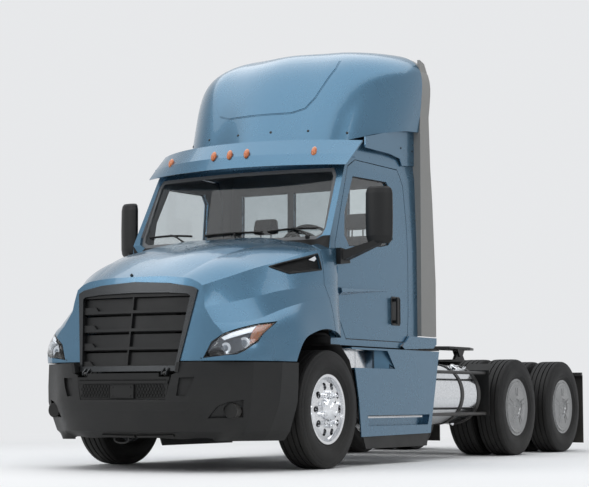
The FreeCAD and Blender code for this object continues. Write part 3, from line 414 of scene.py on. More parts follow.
def swept(bm, path, radius, sides=8, closed=False, flat=1.0):
    """A bar that follows points, with each ring bridged to the next."""
    points = [Vector(p) for p in path]
    count = len(points)
    rings = []
    for number, point in enumerate(points):
        before = points[(number - 1) % count] if closed or number else point
        after = points[(number + 1) % count] if closed or number < count - 1 else point
        turn = facing((after - before).normalized())
        ring = bmesh.ops.create_circle(bm, cap_ends=False, radius=radius, segments=sides)["verts"]
        bmesh.ops.scale(bm, vec=(1.0, flat, 1.0), verts=ring)
        posed(bm, ring, turn, point)
        rings.append(ring)
    for pair in list(zip(rings, rings[1:])) + ([(rings[-1], rings[0])] if closed else []):
        loop = {e for ring in pair for v in ring for e in v.link_edges if all(w in ring for w in e.verts)}
        bmesh.ops.bridge_loops(bm, edges=list(loop))
    if not closed:
        for ring in (rings[0], rings[-1]):
            bmesh.ops.contextual_create(bm, geom=ring)


def surface_of(*names):
    """A tree for dropping points onto CAD nodes."""
    verts, faces = [], []
    for name in names:
        mesh = NODES[name].data
        start = len(verts)
        verts += [v.co.copy() for v in mesh.vertices]
        faces += [tuple(start + i for i in p.vertices) for p in mesh.polygons]
    return BVHTree.FromPolygons(verts, faces)


def met(tree, start, way):
    """The first point and normal on a ray; both are None where nothing is met."""
    return tree.ray_cast(Vector(start), Vector(way))[:2]


def from_front(tree, x, z):
    """The first point and normal met when looking back along +Y at this x and z."""
    return met(tree, (x, -8.0, z), (0, 1.0, 0))


def from_behind(tree, x, z):
    """The first point and normal met when looking forward from behind the dashboard."""
    return met(tree, (x, 3.0, z), (0, -1.0, 0))


def from_side(tree, side, y, z):
    """The first point and normal met when looking in from the vehicle's side."""
    return met(tree, (side * 3.0, y + FRONT_AXLE_Y, z), (-side, 0, 0))


def copied(name):
    """A merged copy of a CAD node's mesh."""
    bm = bmesh.new()
    bm.from_mesh(NODES[name].data)
    bmesh.ops.remove_doubles(bm, verts=bm.verts, dist=0.0002)
    return bm


# Wheels

def tyre_section():
    """Closed (offset, radius) outline of a tyre with four tread grooves and ribbed sidewalls."""
    wall = mm((105, 292), (113, 296), (119, 306), (117, 312), (124, 322), (133, 345), (136, 349), (136, 353),
              (140.5, 370), (144.5, 395), (144, 418), (141.5, 438), (138.5, 450), (136.5, 451.5), (137, 456),
              (134, 472), (132, 478.5), (129, 480), (129, 486), (126.5, 494.5), (121.5, 501.5), (113, 505.5))
    half = list(wall)
    for middle in (0.080, 0.028):
        half += [(middle + 0.0065, 0.5075), (middle + 0.0045, 0.496), (middle - 0.0045, 0.496),
                 (middle - 0.0065, 0.508)]
    return half + [(-dx, r) for dx, r in reversed(half)]


def mark_round(bm, centres):
    """UV map of a tyre: metres round the tread, and metres across from the nearest tyre's middle."""
    layer = bm.loops.layers.uv.new("round")
    for face in bm.faces:
        middle = face.calc_center_median()
        home = min(centres, key=lambda c: (middle - c).length if abs(middle.x - c.x) < 0.2 else 9.0)
        first = math.atan2(middle.z - home.z, middle.y - home.y)
        for loop in face.loops:
            offset = loop.vert.co - home
            turn = math.atan2(offset.z, offset.y)
            turn += math.tau * round((first - turn) / math.tau)
            loop[layer].uv = (turn * AXLE_Z, offset.x)


def make_tyres(hand, side):
    wheels = [("front_tyre_", "front_wheel_", "tyre_front_", [st(side * FRONT_WHEEL_X, 0, AXLE_Z)])]
    wheels += [(place + "_twin_tyres_", place + "_wheels_", "tyres_" + place + "_",
                [st(side * x, station, AXLE_Z) for x in TWIN_X]) for place, station in TWIN_AXLES]
    for name, body, replaced, homes in wheels:
        bm = bmesh.new()
        for home in homes:
            turn_profile(bm, tyre_section(), home, 96)
        mark_round(bm, homes)
        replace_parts(piece(bm, name + hand, body + hand, "tyre"), replaced + hand)


def make_wheel_fittings(hand, side):
    """Wheel nuts, hub cap and its studs on the front wheels; embossing on the rear covers."""
    nut = mm((0, 23), (5, 23), (6, 19), (26, 19), (34, 13), (36, 11))
    cap = mm((128, 106), (134, 104), (158, 90.5), (170, 64), (174, 58), (186, 52), (190, 44), (190, 30), (186, 27),
             (186, 0))
    cover = mm((120.5, 262), (121.5, 268), (123.5, 268), (123.5, 260), (121.5, 256), (121.2, 236), (122.8, 234),
               (122.8, 228), (121.2, 226), (121.2, 102), (124, 96), (124, 89), (113, 82), (106, 62), (106, 36),
               (108.5, 34), (108.5, 26), (105, 24), (105, 0.1), (104.5, 0.1), (104.5, 83), (120.5, 100))
    out = vec(side, 0, 0)
    bm = bmesh.new()
    for count, start, x, reach, jobs in (
            (10, 0.5, 1.158, 0.1427, ((nut, 6, 1), (mm((34, 10), (46, 10), (47, 8)), 10, 0))),
            (8, 0, 1.190, 0.082, ((mm((-10, 11), (4, 11), (7, 7)), 6, 1),))):
        for number in range(count):
            turn = math.tau * (number + start) / count
            spot = st(side * x, reach * math.cos(turn), AXLE_Z + reach * math.sin(turn))
            for rings, sides, turned in jobs:
                stud(bm, spot, out, rings, sides, turn * turned)
    piece(bm, "wheel_nuts_" + hand, "front_wheel_" + hand, "chrome", "polished_wheel")
    bm = bmesh.new()
    turn_profile(bm, [(side * dx, r) for dx, r in cap], st(side * FRONT_WHEEL_X, 0, AXLE_Z), 48, closed=False)
    bmesh.ops.remove_doubles(bm, verts=bm.verts, dist=0.0001)
    piece(bm, "hub_cap_" + hand, "front_wheel_" + hand, "chrome", "polished_wheel")
    for place, station in TWIN_AXLES:
        bm = bmesh.new()
        home = st(side * TWIN_X[0], station, AXLE_Z)
        turn_profile(bm, [(side * dx, r) for dx, r in cover], home, 72)
        for number in range(5):
            for offset in (-0.13, 0.13):
                turn = math.tau * number / 5 + offset + 0.3
                way = vec(0, math.cos(turn), math.sin(turn))
                box_at(bm, home + way * 0.165 + out * 0.1222, (0.0045, 0.085, 0.013),
                       0.002, Matrix.Rotation(turn, 3, "X"))
        piece(bm, place + "_cover_" + hand, place + "_wheels_" + hand, "wheel_cover")


both_sides(make_tyres, make_wheel_fittings)


# Shared ways of making small pieces

def keep_only(bm, faces):
    kept = set(faces)
    bmesh.ops.delete(bm, geom=[f for f in bm.faces if f not in kept], context="FACES")


def prism(bm, points, way):
    """A flat outline grown into a solid along a vector."""
    base = bm.faces.new([bm.verts.new(p) for p in points])
    thickened(bm, way, [base])


def softened(made, width, segments=2):
    """Round a piece's sharp edges."""
    edge = made.modifiers.new("edge", "BEVEL")
    edge.width = width
    edge.segments = segments
    edge.limit_method = "ANGLE"
    edge.angle_limit = math.radians(35)
    return made


def walled(made, thickness, offset=-1.0):
    wall = made.modifiers.new("wall", "SOLIDIFY")
    wall.thickness = thickness
    wall.offset = offset
    return made


def seated(tree, side, line, lift, steps=1):
    """Points of a (station, height) line dropped on a vehicle side, lifted off it."""
    found = []
    for (y0, z0), (y1, z1) in zip(line, line[1:] + line[:1]):
        for step in range(steps):
            t = step / steps
            point, normal = from_side(tree, side, y0 + (y1 - y0) * t, z0 + (z1 - z0) * t)
            if point is not None:
                found.append(point + normal * lift)
    return found


def thickened(bm, way, faces=None):
    """Grow an open sheet into a closed solid along a vector."""
    grown = verts_of(bmesh.ops.extrude_face_region(bm, geom=faces or bm.faces[:]))
    bmesh.ops.translate(bm, vec=way, verts=grown)


def fattened(bm, way_of):
    """Grow an open sheet into a closed solid, each corner along its own way."""
    def key(vert):
        return tuple(round(c, 5) for c in vert.co)

    ways = {key(v): way_of(v) for v in bm.verts}
    for vert in verts_of(bmesh.ops.extrude_face_region(bm, geom=bm.faces[:])):
        vert.co += ways[key(vert)]


def skinned(bm, rows):
    """Faces between neighbouring rows of corners."""
    for first, second in zip(rows, rows[1:]):
        for corners in zip(first, first[1:], second[1:], second):
            bm.faces.new(corners)


def hexagon(bm, centre, normal, size):
    """One flat six-sided cell on a surface."""
    way = Vector(normal).normalized()
    across = vec(0, 0, 1.0).cross(way).normalized()
    turn = Matrix((across, way.cross(across), way)).transposed()
    cell = bmesh.ops.create_circle(bm, cap_ends=True, radius=size, segments=6)["verts"]
    posed(bm, cell, turn @ Matrix.Rotation(math.pi / 6, 3, "Z"), centre)


def opened(bm, web):
    """Cut every cell of a mesh panel down to its rim."""
    bmesh.ops.inset_individual(bm, faces=bm.faces[:], thickness=web)
    bmesh.ops.delete(bm, geom=[f for f in bm.faces if len(f.verts) == 6], context="FACES")


def cell_centres(low, high, left, right, pitch):
    """Centres of a mesh's staggered cells, row by row."""
    row = 0
    while low < high:
        across = left + pitch * 0.5 * (row % 2)
        while across < right:
            yield across, low
            across += pitch
        low += pitch * 0.87
        row += 1


def rim_loops(bm):
    """Ordered corner lists of a sheet's open edges."""
    spare = {e for e in bm.edges if e.is_boundary}
    loops = []
    while spare:
        edge = spare.pop()
        start, here = edge.verts
        line = [start.co.copy(), here.co.copy()]
        while here != start:
            step = next((e for e in here.link_edges if e in spare), None)
            if step is None:
                break
            spare.discard(step)
            here = step.other_vert(here)
            line.append(here.co.copy())
        loops.append(line[:-1])
    return loops


def evened(line, gap):
    """A closed line with its corners kept and its close points dropped."""
    kept = [line[0]]
    for point in line[1:]:
        if (point - kept[-1]).length > gap:
            kept.append(point)
    if (kept[0] - kept[-1]).length < gap:
        kept.pop()
    return kept


# Cab: linings, seals and glazing

def thin_walls(bm, inward, limit):
    """Faces whose wall behind them is thin, and that face the way the test asks."""
    bm.faces.ensure_lookup_table()
    tree = BVHTree.FromBMesh(bm)
    chosen = []
    for face in bm.faces:
        middle = face.calc_center_median()
        if not inward(middle, face.normal):
            continue
        _, _, _, depth = tree.ray_cast(middle - face.normal * 0.0005, -face.normal, limit)
        if depth is not None:
            chosen.append(face)
    return chosen


def lined(name, piece_name, body, test, lift, finish):
    """A thin lining on the faces of a CAD shell that pass a test."""
    bm = copied(name)
    bm.normal_update()
    keep_only(bm, thin_walls(bm, test, 0.06))
    bm.normal_update()
    shift = {v: v.normal * lift for v in bm.verts}
    for vert, step in shift.items():
        vert.co += step
    made = walled(formed(bm, piece_name, FINISH[finish]), 0.0016)
    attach(made, body)


def make_linings():
    """Grey inner trim on the cab's walls, roof and floor and on the doors; black underseal on the underside, and a
    black sheet of painted shade on the front wall below the cowl.
    """
    middle = st(0, 1.15, 2.05)

    def towards(point, normal):
        return normal.dot((middle - point).normalized()) > 0.2

    def below(point, normal):
        under = normal.z < -0.6 and point.z < 1.35
        front = normal.y < -0.6 and point.z < 1.98 and point.y < -1.6
        return under or front

    lined("cab_shell", "cab_lining", "chassis", towards, 0.004, "cabin_trim")
    for hand, side in SIDES:
        lined("door_" + hand + "_panel", "door_lining_" + hand, "door_" + hand,
              lambda point, normal, side=side: normal.x * side < -0.5, 0.003, "cabin_trim")
    # Black sheet: underseal on the cab's underside, and painted shade on the front wall under the hood.
    lined("cab_shell", "cab_underseal_and_shade_sheet", "chassis", below, 0.003, "flap_rubber")


def make_glass_seals():
    """Round rubber cords at the edges of the door glasses and the rear panes."""
    jobs = [("door_left_glass", "door_left", vec(1.0, 0, 0)),
            ("door_right_glass", "door_right", vec(-1.0, 0, 0)),
            ("cab_glass", "chassis", vec(0, 1.0, 0))]
    for name, body, out in jobs:
        bm = copied(name)
        bm.normal_update()
        keep_only(bm, [f for f in bm.faces if f.normal.dot(out) > 0.8])
        if name == "cab_glass":
            keep_only(bm, [f for f in bm.faces if f.calc_center_median().y > FRONT_AXLE_Y + 1.2])
        loops = [evened(line, 0.02) for line in rim_loops(bm)]
        bm.free()
        seal = bmesh.new()
        for line in loops:
            if len(line) > 3:
                swept(seal, [p + out * 0.003 for p in line], 0.009, 8, closed=True)
        piece(seal, name.replace("glass", "seal"), body, "black_rubber", "seal_rubber")


def make_wipers():
    """Three blades parked along the foot of the windscreen."""
    tree = surface_of("cab_glass")
    blades, rods = bmesh.new(), bmesh.new()
    for first, last, pivot in ((-0.905, -0.40, -0.62), (-0.25, 0.36, -0.05), (0.42, 0.90, 0.70)):
        line = []
        for step in range(7):
            x = first + (last - first) * step / 6
            point, normal = from_front(tree, x, 2.078 + 0.012 * math.sin(math.pi * step / 6) + 0.02 * abs(x))
            if point is not None:
                line.append(point + normal * 0.012)
        if len(line) < 3:
            continue
        swept(blades, line, 0.0055, 6, flat=1.6)
        swept(rods, [p + vec(0, -0.010, 0.004) for p in line], 0.006, 6)
        middle = line[len(line) // 2]
        root = st(pivot + 0.16, 0.165, 2.035)
        knee = middle + vec(0.03, -0.030, 0.004)
        swept(rods, [root, (root + knee) / 2 + vec(0, -0.012, 0.010), knee,
                     middle + vec(0, -0.014, 0.004)], 0.0085, 8)
        stud(rods, root - vec(0, 0, 0.03), (0, -0.35, 1.0), mm((0, 20), (26, 20), (36, 14), (40, 6)), 12)
    piece(blades, "wiper_blades", "chassis", "black_rubber", "seal_rubber")
    piece(rods, "wiper_arms", "chassis", "trim_plastic")


def make_mirror_glass(hand, side):
    """Two silvered glasses in the back of each mirror: a tall flat one over a short round one."""
    half = 0.098
    tree = surface_of("mirror_" + hand)
    glass, rim = bmesh.new(), bmesh.new()
    for z_low, z_high in ((2.135, 2.440), (2.005, 2.115)):
        point, normal = from_behind(tree, side * 1.372, (z_low + z_high) / 2)
        if point is None:
            continue
        across = vec(0, 0, 1.0).cross(normal).normalized()
        up = normal.cross(across)
        tall = (z_high - z_low) / 2
        for made, grow, lift, deep in ((rim, 0.007, 0, 0.006), (glass, 0, 0.004, 0.004)):
            corners = [point + normal * lift + across * (sx * (half + grow)) + up * (sz * (tall + grow))
                       for sx, sz in ((-1, -1), (1, -1), (1, 1), (-1, 1))]
            prism(made, corners, normal * deep)
    softened(piece(glass, "mirror_glass_" + hand, "door_" + hand, "chrome", "clear_lens"), 0.003)
    softened(piece(rim, "mirror_rims_" + hand, "door_" + hand, "trim_plastic"), 0.003)


def make_door_cups(hand, side):
    """The well, bezel and lock behind each pull handle."""
    line = mm((1352, 1300), (1366, 1284), (1512, 1284), (1528, 1300), (1528, 1530), (1512, 1546), (1366, 1546),
              (1352, 1530))
    tree = surface_of("door_" + hand + "_panel")
    bm = bmesh.new()
    face = seated(tree, side, line, 0.0005)
    prism(bm, face if side > 0 else face[::-1], vec(side * 0.0025, 0, 0))
    piece(bm, "handle_well_" + hand, "door_" + hand, "trim_plastic")
    bm = bmesh.new()
    swept(bm, seated(tree, side, line, 0.003, 2), 0.005, 8, closed=True)
    point, normal = from_side(tree, side, 1.475, 1.345)
    stud(bm, point, normal, mm((0, 21), (6, 21), (9, 17), (7, 15), (7, 4)), 20)
    piece(bm, "handle_bezel_" + hand, "door_" + hand, "grille_grey", "grey_satin")


def make_steering_wheel():
    home = st(0.48, 0.96, 2.060)
    tilt = Matrix.Rotation(math.radians(-38), 3, "X")
    bm = bmesh.new()

    def at(across, along, up):
        return home + tilt @ vec(across, along, up)

    swept(bm, [at(0.215 * math.cos(a), 0.215 * math.sin(a), 0) for a in (math.tau * n / 40 for n in range(40))],
          0.0145, 10, closed=True)
    for angle in (90, 205, 335):
        x, y = math.cos(math.radians(angle)), math.sin(math.radians(angle))
        swept(bm, [at(x * 0.05, y * 0.05, 0), at(x * 0.13, y * 0.13, -0.012), at(x * 0.212, y * 0.212, 0)],
              0.013, 8, flat=1.8)
    stud(bm, at(0, 0, -0.03), tilt @ vec(0, 0, 1.0), mm((0, 62), (22, 70), (36, 66), (42, 40)), 24)
    swept(bm, [home, at(0, 0, -0.10), at(0, 0, -0.24)], 0.036, 12)
    piece(bm, "steering_wheel", "chassis", "trim_plastic")


def make_dash_details():
    """Instrument hood, centre screen and vents on the dashboard's rear."""
    tree = surface_of("dashboard")
    trim, shine = bmesh.new(), bmesh.new()
    for x in (0.37, 0.59):
        point, normal = from_behind(tree, x, 1.93)
        if point is not None:
            stud(trim, point, normal, mm((0, 70), (12, 70), (16, 62), (6, 58)), 28)
            stud(shine, point, normal, mm((4, 56), (6, 56), (7, 10)), 28)
    for x in (-0.70, -0.45, 0.05, 0.80):
        point, _ = from_behind(tree, x, 1.98)
        if point is None:
            continue
        for bar in range(4):
            box_at(trim, point + vec(0, 0.004, 0.024 - bar * 0.016), (0.13, 0.010, 0.006), 0.002)
        box_at(trim, point + vec(0, 0.002, 0), (0.15, 0.006, 0.078), 0.002)
    point, _ = from_behind(tree, 0.05, 1.84)
    if point is not None:
        box_at(trim, point + vec(0, 0.006, 0), (0.27, 0.014, 0.165), 0.004)
        box_at(shine, point + vec(0, 0.0135, 0), (0.245, 0.002, 0.142), 0.001)
    piece(trim, "dash_vents", "chassis", "trim_plastic")
    piece(shine, "dash_glass", "chassis", "lamp_bowl", "clear_lens")


def swell(made, pressure, frames, cap):
    """Let a closed form swell as stuffed cloth does, no point further than the cap."""
    scene = bpy.context.scene
    before = [v.co.copy() for v in made.data.vertices]
    cloth = made.modifiers.new("swell", "CLOTH")
    for key, value in (("use_pressure", True), ("uniform_pressure_force", pressure), ("mass", 0.4),
                       ("tension_stiffness", 25.0), ("compression_stiffness", 25.0), ("bending_stiffness", 1.5)):
        setattr(cloth.settings, key, value)
    cloth.settings.effector_weights.gravity = 0
    cloth.collision_settings.use_collision = False
    cloth.point_cache.frame_start = 1
    cloth.point_cache.frame_end = frames
    for frame_number in range(1, frames + 1):
        scene.frame_set(frame_number)
    shown = made.evaluated_get(bpy.context.evaluated_depsgraph_get())
    after = [v.co.copy() for v in shown.data.vertices]
    made.modifiers.remove(cloth)
    scene.frame_set(1)
    for vert, old, new in zip(made.data.vertices, before, after):
        step = new - old
        if step.length > cap:
            step *= cap / step.length
        vert.co = old + step


def cushion_block(name, low_corners, high_corners, channels):
    """A stuffed pad between two outlines, with sewn channels pressed in across it."""
    bm = bmesh.new()
    base = bm.faces.new([bm.verts.new(p) for p in low_corners])
    for vert in verts_of(bmesh.ops.extrude_face_region(bm, geom=[base])):
        vert.co = min(high_corners, key=lambda c: (c - vert.co).length)
    bmesh.ops.recalc_face_normals(bm, faces=bm.faces)
    bmesh.ops.bevel(bm, geom=bm.edges[:], offset=0.028, segments=3, profile=0.5, material=-1, affect="EDGES")
    made = formed(bm, name)
    remesh = made.modifiers.new("even", "REMESH")
    remesh.mode = "VOXEL"
    remesh.voxel_size = 0.011
    shown = made.evaluated_get(bpy.context.evaluated_depsgraph_get())
    even = bpy.data.meshes.new_from_object(shown)
    made.modifiers.clear()
    made.data = even
    swell(made, 4.0, 20, 0.018)
    centre = sum((v.co for v in even.vertices), Vector()) / len(even.vertices)
    for axis, place, width, depth in channels:
        for vert in even.vertices:
            near = (vert.co[axis] - place) / width
            if abs(near) < 3.0:
                vert.co += (centre - vert.co).normalized() * depth * math.exp(-near * near)
    even.materials.append(FINISH["seat_fabric"])
    smooth = made.modifiers.new("smooth", "SUBSURF")
    smooth.levels = smooth.render_levels = 1
    for polygon in even.polygons:
        polygon.use_smooth = True
    return made


def make_seats(hand, side):
    """Two air-sprung seats: stuffed cushion, back and headrest on a moulded pedestal."""
    x = side * 0.52

    def at(dx, y, z):
        return st(x + dx, y, z)

    def outline(half, y0, y1, z0, z1):
        return [at(-half, y0, z0), at(half, y0, z0), at(half, y1, z1), at(-half, y1, z1)]

    parts = {
        "cushion": (outline(0.235, 1.085, 1.575, 1.525, 1.515), outline(0.225, 1.085, 1.575, 1.620, 1.610),
                    [(0, x - 0.14, 0.008, 0.012), (0, x + 0.14, 0.008, 0.012),
                     (1, FRONT_AXLE_Y + 1.25, 0.008, 0.008), (1, FRONT_AXLE_Y + 1.42, 0.008, 0.008)]),
        "back": (outline(0.215, 1.560, 1.675, 1.660, 1.640), outline(0.200, 1.655, 1.755, 2.190, 2.180),
                 [(0, x - 0.12, 0.008, 0.010), (0, x + 0.12, 0.008, 0.010), (2, 1.82, 0.008, 0.008),
                  (2, 2.02, 0.008, 0.008)]),
        "headrest": (outline(0.140, 1.680, 1.765, 2.240, 2.235), outline(0.125, 1.695, 1.765, 2.395, 2.390), []),
    }
    for part_name, (low, high, channels) in parts.items():
        made = cushion_block("seat_" + part_name + "_" + hand, low, high, channels)
        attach(made, "chassis")
    bm = bmesh.new()
    box_at(bm, at(0, 1.355, 1.470), (0.42, 0.42, 0.060), 0.012)
    for number in range(6):
        fold = 0.012 * (number % 2)
        box_at(bm, at(0, 1.355, 1.225 + number * 0.040), (0.30 - fold, 0.34 - fold, 0.034), 0.010)
    box_at(bm, at(0, 1.355, 1.165), (0.36, 0.40, 0.066), 0.010)
    for dx in (-0.06, 0.06):
        swept(bm, [at(dx, 1.722, 2.150), at(dx, 1.726, 2.280)], 0.007, 8)
    for dx in (-0.245, 0.245):
        swept(bm, [at(dx, 1.640, 1.830), at(dx, 1.500, 1.850), at(dx, 1.300, 1.852)], 0.022, 10, flat=0.8)
    base = piece(bm, "seat_pedestal_" + hand, "chassis", "trim_plastic", "seat_fabric")
    if side > 0:
        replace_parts(base, "seats")


make_linings()
make_glass_seals()
make_wipers()
both_sides(make_mirror_glass, make_door_cups)
make_steering_wheel()
make_dash_details()
both_sides(make_seats)


# Front lamps

def lens_faces(bm, side):
    """The outward faces of one headlamp body."""
    deep = st(side * 0.55, -0.55, 0.95)
    chosen = []
    for face in bm.faces:
        middle = face.calc_center_median()
        if middle.x * side < 0:
            continue
        if face.normal.dot((middle - deep).normalized()) > 0.35:
            chosen.append(face)
    return chosen


LAMP_LINE = mm((712, 931), (958, 963), (1004, 991), (1066, 1058), (1088, 1222), (1036, 1206), (864, 1121),
               (767, 1054))


def on_lens(tree, side, x, z, lift):
    """A point of the lens at this width and height, moved along its normal."""
    point, normal = from_front(tree, side * x, z)
    return None if point is None else point + normal * lift


def strip_on(bm, tree, side, upper, lower, lift, columns=16):
    """A band between two lines, laid on the lens at one depth."""
    def along(line, t):
        spot = t * (len(line) - 1)
        number = min(int(spot), len(line) - 2)
        (x0, z0), (x1, z1) = line[number], line[number + 1]
        return x0 + (x1 - x0) * (spot - number), z0 + (z1 - z0) * (spot - number)

    rows = []
    for column in range(columns + 1):
        (x0, z0), (x1, z1) = along(upper, column / columns), along(lower, column / columns)
        row = [on_lens(tree, side, x0 + (x1 - x0) * s, z0 + (z1 - z0) * s, lift) for s in (0, 0.5, 1.0)]
        if None not in row:
            rows.append([bm.verts.new(p) for p in row])
    skinned(bm, rows)


def make_headlamps(hand, side):
    bm = copied("headlamps")
    chosen = lens_faces(bm, side)
    tree = BVHTree.FromPolygons([v.co.copy() for v in bm.verts], [tuple(v.index for v in f.verts) for f in chosen])
    keep_only(bm, chosen)
    made = walled(piece(bm, "headlamp_lens_" + hand, "hood", "clear_lens"), 0.0025)
    if side > 0:
        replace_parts(made, "headlamps")
    bm = copied("headlamps")
    front = set(lens_faces(bm, side))
    keep_only(bm, [f for f in bm.faces if f not in front and f.calc_center_median().x * side > 0])
    bm.normal_update()
    bmesh.ops.reverse_faces(bm, faces=bm.faces)
    walled(piece(bm, "headlamp_bowl_" + hand, "hood", "lamp_bowl", "clear_lens"), 0.0015, 0)
    bm = bmesh.new()
    rim = [on_lens(tree, side, x, z, -0.003) for x, z in LAMP_LINE]
    swept(bm, [p for p in rim if p is not None], 0.0065, 8, closed=True)
    piece(bm, "headlamp_rim_" + hand, "hood", "trim_plastic", "clear_lens")
    # The band's finish glows faintly, as painted light inside the lens; the amber strip does not glow.
    for name, finish, upper, lower, lift in (
            ("headlamp_band_", "lamp_band", mm((836, 1090), (900, 1130), (970, 1166), (1040, 1200)),
             mm((862, 1070), (900, 1086), (970, 1116), (1036, 1150)), -0.008),
            ("headlamp_amber_", "amber_lens", mm((1026, 1198), (1022, 1150), (1028, 1085), (1034, 1036)),
             mm((1087, 1220), (1081, 1160), (1071, 1090), (1063, 1060)), -0.004)):
        bm = bmesh.new()
        strip_on(bm, tree, side, upper, lower, lift)
        slot = "clear_lens" if finish == "lamp_band" else finish
        walled(piece(bm, name + hand, "hood", finish, slot), 0.003)
    rings, eyes, frames = bmesh.new(), bmesh.new(), bmesh.new()
    for x, z, size in ((0.868, 1.010, 0.047), (1.000, 1.050, 0.052)):
        point, normal = from_front(tree, side * x, z)
        aim = (normal * 0.4 + vec(0, -1.0, 0)).normalized()
        home = point - normal * (0.016 + size * 0.3) - aim * 0.012
        for target, sides, profile in (
                (frames, 32, ((-0.030, 1.16), (0.000, 1.22), (0.003, 1.16), (-0.006, 1.05))),
                (rings, 32, ((0.000, 1.02), (0.006, 1.0), (0.009, 0.93), (0.000, 0.80), (-0.012, 0.72))),
                (eyes, 28, ((-0.004, 0.72), (0.004, 0.68), (0.011, 0.52), (0.015, 0.30), (0.016, 0.06)))):
            stud(target, home, aim, [(height, size * part) for height, part in profile], sides)
        low = home - vec(0, 0, size * 1.15) + aim * 0.004
        swept(rings, [low + vec(side * d * size, 0, size * 0.35 * d * d)
                      for d in (-0.9, -0.45, 0, 0.45, 0.9)], 0.0055, 8, flat=0.6)
    piece(frames, "headlamp_frames_" + hand, "hood", "lamp_bowl", "clear_lens")
    piece(rings, "headlamp_rings_" + hand, "hood", "lamp_silver", "clear_lens")
    piece(eyes, "headlamp_eyes_" + hand, "hood", "lamp_eye", "clear_lens")


both_sides(make_headlamps)


# Bumper and grille

PLATE_HALF = 0.145
GRILLE_LEAN = 0.157
GRILLE_BOW = 3.334    # radius


def make_honeycomb():
    """Six-sided mesh in the bumper's mouth, over the dark backing; its top leaves room for the opening hood."""
    bm = bmesh.new()
    pitch = 0.030
    for low, high, reach, bare in ((0.727, 0.757, 0.44, 0), (0.610, 0.716, 0.42, PLATE_HALF)):
        for x, z in cell_centres(low + pitch * 0.45, high - pitch * 0.3, pitch * 0.5 - reach,
                                 reach - pitch * 0.4, pitch):
            if abs(x) >= bare:
                hexagon(bm, st(x, -1.3965, z), (0, -1.0, 0), pitch * 0.60)
    opened(bm, 0.0032)
    walled(piece(bm, "bumper_honeycomb", "chassis", "trim_plastic"), 0.004, 0)


make_honeycomb()


# Hood trim

def make_vents():
    """Rim, fine mesh and a bright tab in each side vent, and the washer jet on the hood."""
    tree = surface_of("hood_vents")
    skin = surface_of("hood_shell", "hood_vents")
    pitch = 0.0165
    for hand, side in SIDES:
        bm = bmesh.new()
        line = seated(skin, side, mm((-560, 1708), (-400, 1656), (-10, 1710), (-4, 1848)), 0.002, 6)
        swept(bm, line, 0.0075, 8, closed=True)
        piece(bm, "vent_rim_" + hand, "hood", "trim_plastic")
        bm = bmesh.new()
        for y, z in cell_centres(1.668, 1.835, -0.545, -0.02, pitch):
            low = 1.664 + max(-0.39 - y, 0) * 0.30 + max(y + 0.40, 0) * 0.143 + 0.008
            high = 1.708 + (y + 0.552) * 0.241 - 0.008
            point, normal = from_side(tree, side, y, z)
            if low < z < high and point is not None:
                hexagon(bm, point + normal * 0.003, normal, pitch * 0.58)
        opened(bm, 0.0016)
        walled(piece(bm, "vent_mesh_" + hand, "hood", "trim_plastic"), 0.002, 0)
        face = seated(tree, side, mm((-120, 1786), (-60, 1776), (-22, 1800), (-30, 1826)), 0.006)
        if len(face) == 4:
            bm = bmesh.new()
            prism(bm, face, from_side(tree, side, -0.06, 1.79)[1] * 0.004)
            softened(piece(bm, "vent_tab_" + hand, "hood", "chrome", "grey_satin"), 0.0015)
    bm = bmesh.new()
    point, _ = met(surface_of("hood_shell"), st(-0.053, -1.205, 3.0), (0, 0, -1.0))
    if point is not None:
        box_at(bm, point + vec(0, 0, 0.006), (0.020, 0.026, 0.014), 0.004)
        stud(bm, point + vec(0, 0, 0.010), (0, 0.4, 1.0), [(0, 0.006), (0.010, 0.005)], 10)
    piece(bm, "hood_jet", "hood", "trim_plastic")


# Bumper furniture

def make_bumper_details():
    """Fog lamps, the mouth's bare plate frame, and the chin strip with its towing loop."""
    for hand, side in SIDES:
        ring, glass = bmesh.new(), bmesh.new()
        home = st(side * 0.900, -1.150, 0.500)
        aim = (0, -1.0, 0)
        stud(ring, home + vec(0, 0.018, 0), aim, mm((0, 60), (18, 60.5), (22, 58), (20, 51), (4, 40)), 32)
        stud(glass, home + vec(0, 0.010, 0), aim, mm((0, 27), (4, 26), (9, 19), (11, 7)), 32)
        for number in range(3):
            turn = math.tau * number / 3 + 0.5
            stud(ring, home + vec(0.056 * math.cos(turn), 0, 0.056 * math.sin(turn)), aim,
                 mm((0, 6), (5, 6), (7, 3)), 8)
        piece(ring, "fog_ring_" + hand, "chassis", "trim_plastic", "frame_black")
        piece(glass, "fog_lens_" + hand, "chassis", "chrome", "clear_lens")
    bm = bmesh.new()
    tree = surface_of("bumper")
    for first, last in ((-0.285, 0.045), (0.070, 0.430)):
        line = []
        for step in range(9):
            point, _ = met(tree, st(first + (last - first) * step / 8, -1.262, -0.5), (0, 0, 1.0))
            if point is not None:
                line.append(point + vec(0, -0.004, -0.004))
        if len(line) > 2:
            swept(bm, line, 0.017, 10, flat=0.8)
    loop = [st(-0.105 + 0.075 * math.cos(a), -1.250, 0.262 + 0.030 * math.sin(a))
            for a in (math.tau * n / 24 for n in range(24))]
    swept(bm, loop, 0.0075, 8, closed=True)
    piece(bm, "chin_strip", "chassis", "trim_plastic")
    bm = bmesh.new()
    frame_line = mm((-122, 603), (122, 603), (122, 711), (-122, 711))
    swept(bm, [st(x, -1.4075, z) for x, z in frame_line], 0.004, 6, closed=True)
    for x in (-0.090, 0.090):
        for z in (0.622, 0.692):
            stud(bm, st(x, -1.406, z), (0, -1.0, 0), mm((0, 7), (3, 7), (5, 4)), 10)
    piece(bm, "plate_frame", "chassis", "trim_plastic")


# Chassis furniture

